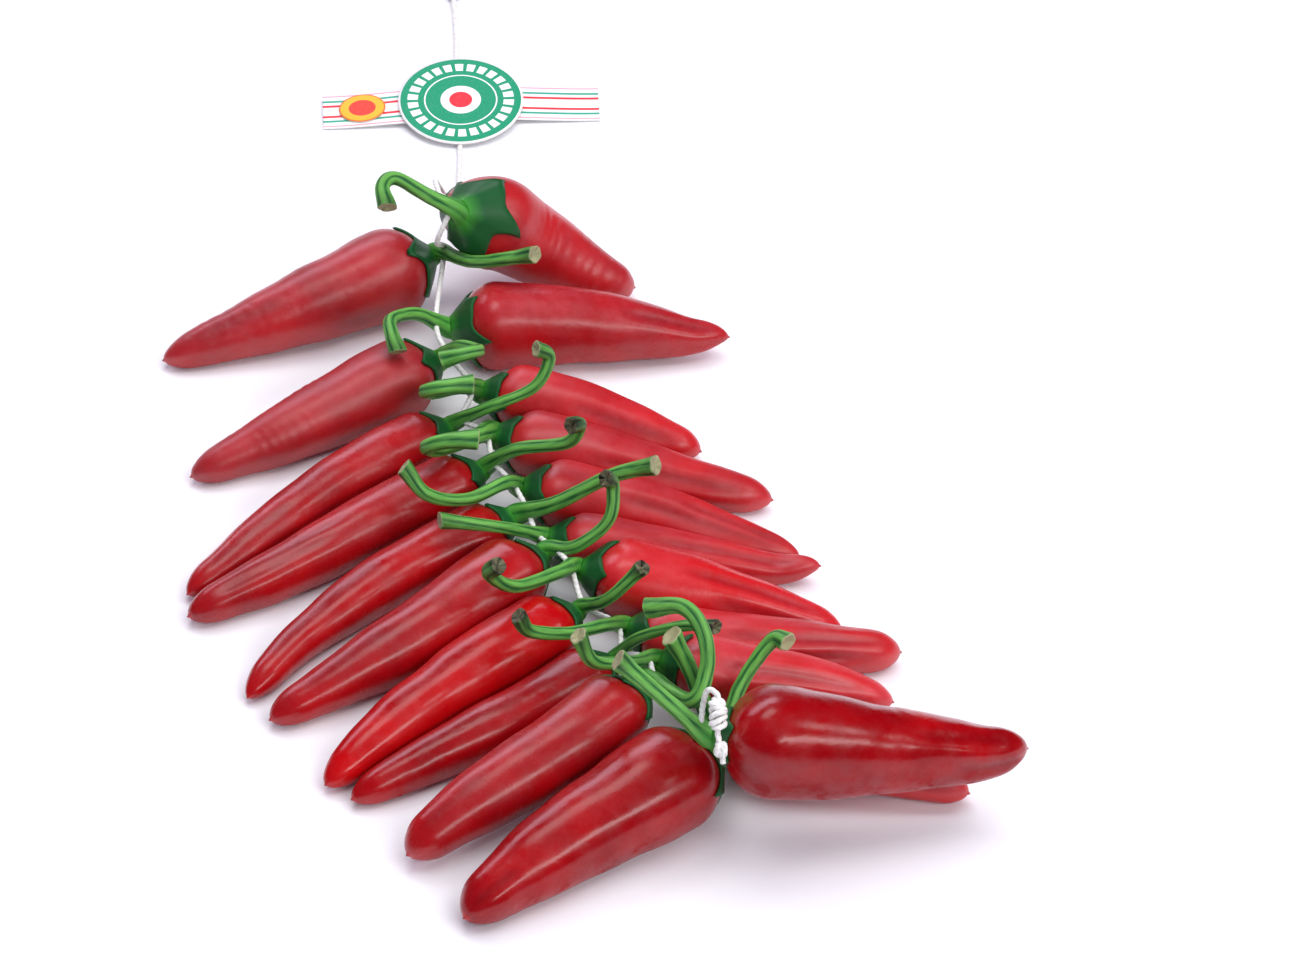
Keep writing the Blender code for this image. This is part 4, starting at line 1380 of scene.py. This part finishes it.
        rings = np.array([*calyx, *stem, *cut])
        along = np.concatenate((places, shares, np.ones(len(cut))))
        along = np.repeat(along[:, None], self.sides, axis=1)
        cut_mask = np.zeros_like(along)
        cut_mask[-len(cut) + 1:] = 1.0
        ribs = np.vstack((np.repeat(rib[:1], len(calyx), axis=0), rib,
                          np.repeat(rib[-1:], len(cut), axis=0)))
        far = np.concatenate((np.linspace(-CALYX_FIBRES, 0.0, len(calyx)), distances,
                              total + np.arange(len(cut)) * CUT_FIBRES))
        far = np.repeat(far[:, None], self.sides, axis=1)
        fibre = np.stack((np.cos(angle) * GRAIN_RADIUS * np.ones_like(along),
                          np.sin(angle) * GRAIN_RADIUS * np.ones_like(along),
                          far / FIBRE_STRETCH), axis=-1)
        char = np.full_like(along, self.pod.chilli.cut_end.value)
        seat = self.pod.centre(np.array(0.0)) + self.pod.outward() * CALYX_GAP
        return Loft(rings, seat, centres[-1] - ahead * CUT_HOLLOW,
                    {"fibre": fibre + self.pod.seed * PATTERN_SHIFT, "along": along,
                     "rib": ribs, "cut": cut_mask, "char": char})


# ---- twine ------------------------------------------------------------------

TWINE_DIAMETER = 2.2
TWINE_REST = 0.05                   # the twine's underside over the surface
TAIL_KNOT_AT = (4.0, -14.9, 2.3)    # from the first thread point
TAIL_END = (4.2, -17.6, -1.8)
END_KNOT_AT = (4.7, -7.5, 12.4)
END_KNOT_MOUTHS = ((3.7, -11.7, 7.3), (5.7, -3.5, 17.2))
KNOT_TO_THREAD = ((3.2, 0.4, 17.0), (1.8, 1.6, 9.4))
FRONT_BEND = (-1, 12, -8)
LAST_BEND = (-6, -2, -14)
LAST_REACH = (-3, 7, 2)
HANGING_ROUTE = (
    (-52, 134, 56), (-47, 147, 41), (-42, 158, 27), (-38, 169, 17), (-34, 181, 9),
    (-31, 192, 3.8), (-28, 204, 1.4), (-24, 220, 1.2), (-20, 238, 1.2), (-17, 254, 1.8),
    (-14.5, 268, 3.4), (-11.5, 282, 1.8), (-8, 298, 1.2), (-5, 314, 1.6), (-3, 327, 3.2))
CARD_KNOT_POINT = 10                # the route's point that the card's knot sits on
LOOP_DIAMETER = 30.0
LOOP_SLIM = 0.7
LOOP_OPENING = 14.0
WRAP_SPACING = 0.85                 # of a barrel knot, in twine diameters
WRAP_STEPS = 26
WRAP_SLACK = 0.16                   # how uneven the wraps are, over the knot's radius
WRAP_SLIP = 0.8                     # and along its axis
WRAP_WAVES = (1.37, 0.31, 1.21)     # of both, over the turns: none fits a whole turn
CROSSINGS = 3                       # of an overhand knot
CROSSING_STEPS = 40
CROSSING_REACH = (0.62, 0.38)       # middle and swing of its reach, over its radius
END_KNOT = (6.8, 12.6)              # knots: outer diameter and length
TAIL_KNOT = (5.6, 6.0)
CARD_KNOT = (6.8, 6.0)
LOOP_KNOT = (6.4, 8.0)


@dataclass
class Twine:
    """Three-strand cotton twine, and the knots tied in it."""

    threads: list[np.ndarray]
    material: bpy.types.Material
    strands: int = 3
    lay: float = 7.5                    # length of one full turn of a strand
    groove: float = 0.20                # depth between strands over the radius
    strand_fullness: float = 2.4        # higher makes narrower grooves
    sides: int = 24
    step: float = 0.55
    end_rise: float = 0.3               # of a cut end's middle over its rim
    askew: tuple[float, float, float] = (0.31, 0.42, 0.85)  # no knot's axis lies this way

    def tube(self, path: np.ndarray) -> Loft:
        """Lay the strands along a path.

        Args:
            path: the twine's centreline.

        Returns:
            The twine as a closed loft.
        """
        path = resampled(path, self.step)
        far = lengths_along(path)
        sides, ups = carried_frames(path, np.array((0.3, 0.2, 1.0)))
        around, along = np.meshgrid(np.linspace(0.0, math.tau, self.sides, endpoint=False), far)
        turned = around + math.tau * along / self.lay
        bulge = 1 - self.groove * np.abs(np.sin(self.strands / 2 * turned)) ** self.strand_fullness
        across = round_axis(sides[:, None], ups[:, None], around)
        rings = path[:, None] + across * (TWINE_DIAMETER / 2 * bulge)[..., None]
        lay = np.stack((np.cos(turned), np.sin(turned), along / 3), axis=-1)
        ahead = unit(path[-1] - path[-2]) * self.end_rise
        behind = unit(path[0] - path[1]) * self.end_rise
        return Loft(rings, path[0] + behind, path[-1] + ahead, {"lay": lay})

    def wound(self, centre: np.ndarray, axis: np.ndarray, turn: np.ndarray,
              reach: np.ndarray, rise: np.ndarray) -> Loft:
        """Wind the twine round an axis.

        Args:
            centre: middle of the winding.
            axis: the way that the twine goes through it.
            turn: angles round the axis.
            reach: distances from the axis.
            rise: distances along the axis.

        Returns:
            The wound stretch of twine.
        """
        axis = unit(np.asarray(axis, float))
        side = unit(np.cross(axis, self.askew))
        up = np.cross(axis, side)
        path = (np.asarray(centre, float) + side * (reach * np.cos(turn))[:, None]
                + up * (reach * np.sin(turn))[:, None] + axis * rise[:, None])
        return self.tube(path)

    def knot(self, centre: np.ndarray, axis: np.ndarray, size: tuple[float, float]) -> Loft:
        """Tie a tight overhand knot.

        Args:
            centre: its middle.
            axis: the way that the twine goes through it.
            size: its outer diameter and its length.

        Returns:
            The knotted stretch of twine.
        """
        diameter, length = size
        turn = np.linspace(0.0, math.tau, CROSSING_STEPS * CROSSINGS)
        middle, swing = CROSSING_REACH
        reach = (diameter - TWINE_DIAMETER) / 2 * (middle + swing * np.cos(CROSSINGS * turn))
        rise = (length - TWINE_DIAMETER) / 2 * np.sin(CROSSINGS * turn)
        return self.wound(centre, axis, 2 * turn, reach, rise)

    def barrel_knot(self, centre: np.ndarray, axis: np.ndarray, size: tuple[float, float]) -> Loft:
        """Wind a barrel knot, whose wraps lie close together and a little askew.

        Args:
            centre: its middle.
            axis: the way that the twine goes through it.
            size: its outer diameter and its length.

        Returns:
            The wound stretch of twine.
        """
        diameter, length = size
        wraps = (length - TWINE_DIAMETER) / (TWINE_DIAMETER * WRAP_SPACING)
        share = np.linspace(0.0, 1.0, round(WRAP_STEPS * wraps))
        turn = math.tau * wraps * share
        bulge = (1 - np.abs(2 * share - 1) ** 4) ** 0.5
        first, second, third = WRAP_WAVES
        uneven = 1 + WRAP_SLACK * np.sin(first * turn + 0.6) * np.sin(second * turn)
        reach = (diameter - TWINE_DIAMETER) / 2 * bulge * uneven
        rise = (length - TWINE_DIAMETER) * (share - 0.5) + WRAP_SLIP * np.sin(third * turn)
        return self.wound(centre, axis, turn, reach, rise)

    def threaded_route(self) -> np.ndarray:
        """Guide points from the front tail through the end knot and every stalk.

        Returns:
            The guide points, in mm.
        """
        first = self.threads[0]
        bottom, top = END_KNOT_MOUTHS
        front = (TAIL_END, TAIL_KNOT_AT, bottom, END_KNOT_AT, top, *KNOT_TO_THREAD)
        guides = [first + np.array(p) for p in front]
        last = self.threads[-1]
        guides += [first, first + np.array(FRONT_BEND), *self.threads[1:-1]]
        return np.array((*guides, last + np.array(LAST_BEND), last, last + np.array(LAST_REACH)))

    def free_route(self) -> np.ndarray:
        """Guide points from the last stalk, along the surface, to the loop's knot."""
        return np.array((self.threads[-1] + np.array(LAST_REACH), *HANGING_ROUTE), float)

    def rested(self, guides: np.ndarray) -> np.ndarray:
        """A smooth path whose twine never reaches below the surface.

        Args:
            guides: guide points.

        Returns:
            The path's points.
        """
        path = resampled(smooth_path(guides), 2.0)
        path[:, 2] = np.maximum(path[:, 2], TWINE_DIAMETER / 2 + TWINE_REST)
        return path

    def loop_path(self) -> np.ndarray:
        """The hanging loop, out of its knot and back into it.

        Returns:
            The loop's points.
        """
        route = self.free_route()
        end = route[-1]
        ahead = unit((route[-1] - route[-2]) * (1, 1, 0))
        left = np.array((-ahead[1], ahead[0], 0.0))
        start = end + ahead * (LOOP_KNOT[1] / 2 + TWINE_DIAMETER / 2)
        angle = np.radians(np.linspace(LOOP_OPENING, 360 - LOOP_OPENING, 40))[:, None]
        loop = start + ahead * LOOP_DIAMETER / 2 * (1 - np.cos(angle))
        loop = loop + left * LOOP_DIAMETER / 2 * LOOP_SLIM * np.sin(angle)
        rest = TWINE_DIAMETER / 2 + TWINE_REST
        loop[:, 2] = rest + (start[2] - rest) * np.cos(angle[:, 0] / 2) ** 8
        return np.vstack((end + left * 0.6, loop, end - left * 0.6))

    def build_free(self) -> bpy.types.Object:
        """Returns:
            The free twine.
        """
        route = self.free_route()
        path = self.rested(route)
        free = place(self.tube(path).mesh("free_twine"), self.material, "twine", "hanging_twine")
        k = CARD_KNOT_POINT + 1
        card_knot = place(self.knot(route[k], route[k + 1] - route[k - 1], CARD_KNOT)
                          .mesh("knot_under_card"), self.material, "twine", "card_knot")
        loop_knot = place(self.knot(route[-1], route[-1] - route[-2], LOOP_KNOT)
                          .mesh("knot_of_loop"), self.material, "twine", "loop_knot")
        loop = place(self.tube(self.loop_path()).mesh("loop_of_twine"), self.material, "twine",
                     "hanging_loop")
        return free

    def build_threaded(self) -> list[bpy.types.Object]:
        """Build the twine through the stalks, its end knot and the knot on its tail.

        Returns:
            The three pieces.
        """
        route = self.threaded_route()
        made = {
            ("threaded_twine", "twine"): self.tube(smooth_path(route)),
            ("knot_at_front", "end_knot"): self.barrel_knot(
                route[3], route[4] - route[2], END_KNOT),
            ("knot_on_tail", "tail_knot"): self.knot(route[1], route[2] - route[0], TAIL_KNOT),
        }
        return [place(loft.mesh(name), self.material, "twine", node)
                for (name, node), loft in made.items()]


# ---- label ------------------------------------------------------------------

DISC_RINGS = (0.02, 0.25, 0.5, 0.75, 0.93, 0.995)   # of a disc's face, over its radius
DISC_RIM = (0.12, 0.88)             # heights of its two outermost rings, over its thickness


@dataclass
class Label:
    """A paper band over the twine, with a round card and an oval sticker."""

    card_diameter: float = 51.0
    card_thickness: float = 0.8
    band_length: float = 112.0
    band_width: float = 20.0
    band_thickness: float = 0.5
    band_shown: float = 0.7             # of that: real paper is thinner than its solid
    band_crown: float = 4.4
    band_end: float = 1.5
    sticker_length: float = 19.0
    sticker_width: float = 16.0
    sticker_thickness: float = 0.4
    sticker_along: float = -40.0
    centre: tuple[float, float] = (-17.0, 249.0)
    turn: float = -11.0
    tilt: float = 6.0
    gap: float = 0.35                   # under the card and the sticker
    points_along: int = 141
    points_across: int = 17
    points_round: int = 128
    card_bow: float = 0.35
    sticker_bow: float = 0.05
    cockle: float = 0.12                # height of the band's waves
    cockle_size: float = 16.0
    cockle_seed: float = 3.0
    end_level: float = 0.15             # of the middle of the band's ends
    edge_curl: float = 0.5

    def point(self, along: np.ndarray, across: np.ndarray, height: np.ndarray) -> np.ndarray:
        """Points of the tilted label from places along and across the band and heights.

        Args:
            along: places along the band from its middle.
            across: places across it.
            height: heights over the surface.

        Returns:
            The points, in mm.
        """
        turn = math.radians(self.turn)
        ahead = np.array((math.cos(turn), math.sin(turn), 0.0))
        left = np.array((-ahead[1], ahead[0], 0.0))
        along, across, height = np.broadcast_arrays(along, across, height)
        points = (np.array((*self.centre, 0.0)) + ahead * along[..., None]
                  + left * across[..., None])
        points[..., 2] = height + across * math.tan(math.radians(self.tilt))
        return points

    def band_height(self, along: np.ndarray) -> np.ndarray:
        """Height of the band's underside: arched over the twine, down at both ends."""
        share = np.cos(math.pi / 2 * along / (self.band_length / 2 + 1))
        return self.band_end + (self.band_crown - self.band_end) * share ** 2

    def band(self) -> Loft:
        """The paper band.

        Returns:
            The band as a closed loft.
        """
        across = np.linspace(-self.band_width / 2, self.band_width / 2, self.points_across)
        round_across = np.concatenate((across, across[::-1]))
        is_top = np.repeat((0.0, 1.0), len(across))
        along, width = np.meshgrid(
            np.linspace(-0.5, 0.5, self.points_along) * self.band_length, round_across,
            indexing="ij")
        top = np.broadcast_to(is_top, along.shape)
        cockle = self.cockle * noise_at(np.stack((along, width, 0 * width), -1),
                                        self.cockle_size, self.cockle_seed)
        curl = self.edge_curl * (np.abs(width / self.band_width * 2) ** 4
                                 * (along / self.band_length) ** 2)
        paper = top * self.band_thickness * self.band_shown
        height = self.band_height(along) + paper + cockle + curl
        rings = self.point(along, width, height)
        trait = np.stack((along, width, top), axis=-1)
        ends = [self.point(end, 0.0, self.band_height(end) + self.end_level)
                for end in (along[0, 0], along[-1, 0])]
        return Loft(rings, *ends, {"print": trait})

    def disc(self, radii: tuple[float, float], along: float, low: float, slope: float,
             thickness: float, bow: float) -> Loft:
        """A flat printed disc or oval, rings from under its middle round to its top.

        Args:
            radii: half its length and half its width.
            along: its middle, along the band.
            low: height of its underside at its middle.
            slope: rise of its underside along the band.
            thickness: of its card.
            bow: how far its rim bends down.

        Returns:
            The disc.
        """
        inside = len(DISC_RINGS) - 1
        shares = [*DISC_RINGS, *DISC_RINGS[::-1]]
        levels = [0.0] * inside + [*DISC_RIM] + [1.0] * inside
        angle = np.linspace(0.0, math.tau, self.points_round, endpoint=False)
        share, turn = np.meshgrid(shares, angle, indexing="ij")
        level = np.repeat(np.array(levels)[:, None], len(angle), axis=1)
        x = radii[0] * share * np.cos(turn)
        y = radii[1] * share * np.sin(turn)
        warp = bow * (np.cos(2 * turn + 0.6) * 0.5 - 0.5) * share ** 2
        height = low + slope * x + thickness * level + warp
        poles = [self.point(along, 0.0, low + thickness * end) for end in (0.0, 1.0)]
        return Loft(self.point(along + x, y, height), *poles,
                    {"print": np.stack((x, y, np.round(level)), axis=-1)})

    def card(self) -> Loft:
        """The round card on the band.

        Returns:
            The card.
        """
        low = self.band_crown + self.band_thickness + self.gap
        half = self.card_diameter / 2
        return self.disc((half, half), 0.0, low, 0.0, self.card_thickness, self.card_bow)

    def sticker(self) -> Loft:
        """The oval sticker on the band's left end.

        Returns:
            The sticker.
        """
        half = self.sticker_length / 2
        low, high = (self.band_height(self.sticker_along + end) + self.band_thickness
                     for end in (-half, half))
        return self.disc((half, self.sticker_width / 2), self.sticker_along,
                         (low + high) / 2 + self.gap, (high - low) / self.sticker_length,
                         self.sticker_thickness, self.sticker_bow)

    def build(self) -> list[bpy.types.Object]:
        """Build and dress the label's three pieces.

        Returns:
            The pieces.
        """
        return [
            place(self.band().mesh("paper_band"), BAND_PRINT.material(), "band", "label_band"),
            place(self.card().mesh("round_card"), CARD_PRINT.material(), "card", "label_card"),
            place(self.sticker().mesh("oval_sticker"), STICKER_PRINT.material(), "sticker",
                  "label_roundel"),
        ]


# ---- studio -----------------------------------------------------------------

def stand(thing: bpy.types.Object, target: Vector, azimuth: float, elevation: float,
          distance: float) -> None:
    """Stand the camera or a light so that it faces a target, and put it in the scene.

    Args:
        thing: the camera or light.
        target: the point that it faces.
        azimuth: degrees from the front, to the right.
        elevation: degrees over the horizon.
        distance: from the target, in metres.
    """
    turn = math.radians(azimuth)
    rise = math.radians(elevation)
    away = Vector((math.sin(turn) * math.cos(rise), -math.cos(turn) * math.cos(rise),
                   math.sin(rise)))
    thing.location = target + away * distance
    thing.rotation_euler = (-away).to_track_quat("-Z", "Y").to_euler()
    bpy.context.scene.collection.objects.link(thing)


@dataclass(frozen=True)
class SoftBox:
    """A rectangular soft light that faces the chillies, in metres and watts."""

    name: str
    azimuth: float
    elevation: float
    distance: float
    width: float
    height: float
    power: float
    tone: str = "#FFFFFF"
    glossy: bool = True     # whether it shows in reflections

    def build(self, target: Vector) -> bpy.types.Object:
        """Set the light up, facing a target.

        Args:
            target: the point that it faces.

        Returns:
            The light.
        """
        light = bpy.data.lights.new(self.name, "AREA")
        light.shape = "RECTANGLE"
        light.size = self.width
        light.size_y = self.height
        light.energy = self.power
        light.color = linear(self.tone)[:3]
        box = bpy.data.objects.new(self.name, light)
        box.visible_glossy = self.glossy
        stand(box, target, self.azimuth, self.elevation, self.distance)
        return box


@dataclass
class Studio:
    """The camera, the pale floor and the soft lights."""

    target: Vector = field(default_factory=lambda: Vector((0.0493, 0.0377, 0.0)))
    azimuth: float = -14.0
    elevation: float = 40.0
    distance: float = 2.4
    lens: float = 176.1                 # in mm, as the sensor is
    sensor: float = 36.0
    light_target: float = 0.03          # height that the lights face
    floor_side: float = 8.0
    sky: str = "#E6E6FF"
    sky_strength: float = 0.36
    lights: tuple[SoftBox, ...] = (
        SoftBox("back_softbox", 190.0, 30.0, 1.7, 1.3, 0.5, 8.0, "#F6ECFF"),
        SoftBox("front_strip", 21.0, 37.0, 1.7, 1.25, 0.26, 9.5),
        SoftBox("side_softbox", 64.0, 52.0, 1.7, 0.42, 0.34, 2.6),
        SoftBox("overhead_softbox", 209.0, 72.0, 0.75, 0.34, 0.26, 1.1),
        SoftBox("top_fill", 60.0, 78.0, 2.2, 2.0, 2.0, 34.0, glossy=False),
    )

    def build_camera(self) -> bpy.types.Object:
        """Set up the camera that looks down on the chillies.

        Returns:
            The camera.
        """
        camera = bpy.data.objects.new("camera", bpy.data.cameras.new("camera"))
        camera.data.lens = self.lens
        camera.data.sensor_width = self.sensor
        stand(camera, self.target, self.azimuth, self.elevation, self.distance)
        bpy.context.scene.camera = camera
        return camera

    def build_floor(self) -> bpy.types.Object:
        """Lay the floor.

        Returns:
            The floor.
        """
        half = self.floor_side / 2
        mesh = bpy.data.meshes.new("floor")
        mesh.from_pydata([(-half, -half, 0), (half, -half, 0), (half, half, 0), (-half, half, 0)],
                         [], [(0, 1, 2, 3)])
        floor = bpy.data.objects.new("floor", mesh)
        floor.data.materials.append(SweptFloor().material())
        bpy.context.scene.collection.objects.link(floor)
        return floor

    def build_lights(self) -> None:
        """Set up the sky and the soft boxes."""
        world = bpy.data.worlds.new("studio")
        world.use_nodes = True
        sky = world.node_tree.nodes["Background"]
        sky.inputs["Color"].default_value = linear(self.sky)
        sky.inputs["Strength"].default_value = self.sky_strength
        world.cycles_visibility.glossy = False
        bpy.context.scene.world = world
        for box in self.lights:
            box.build(self.target + Vector((0.0, 0.0, self.light_target)))


def report(piece: bpy.types.Object) -> None:
    """Log a piece's name and size."""
    size = ", ".join(f"{side / MM:.1f}" for side in piece.dimensions)
    LOG.info("%s: %s mm, %d faces", piece.name, size, len(piece.data.polygons))


def main() -> None:
    """Build the studio, the twine's end, the pods, the stalks and the label."""
    logging.basicConfig(level=logging.INFO, format="%(name)s %(message)s")
    bpy.context.scene.view_settings.view_transform = "Standard"
    studio = Studio()
    studio.build_camera()
    studio.build_floor()
    studio.build_lights()

    pods = [Pod(chilli, seed=FIRST_SEED + SEED_STEP * number)
            for number, chilli in enumerate(CHILLIES)]
    stalks = [Stalk(pod) for pod in pods]
    threads = [stalk.thread_point() for stalk in stalks]
    label = Label().build()
    twine = Twine(threads, CottonTwine().material())
    made = [*label, twine.build_free(), *twine.build_threaded()]

    Heap(pods).settle()
    trees = [pod.tree() for pod in pods]
    skin = PepperSkin().material()
    rind = StalkRind().material()
    for pod, stalk in zip(pods, stalks):
        name = pod.chilli.name
        stalk.clear(trees)
        made.append(place(pod.loft().mesh("chilli_" + name), skin, "pod_skin", "pod_" + name))
        made.append(place(stalk.loft().mesh("stem_" + name), rind, "stalk", "stalk_" + name))
    for piece in made:
        report(piece)


if __name__ == "__main__":
    main()
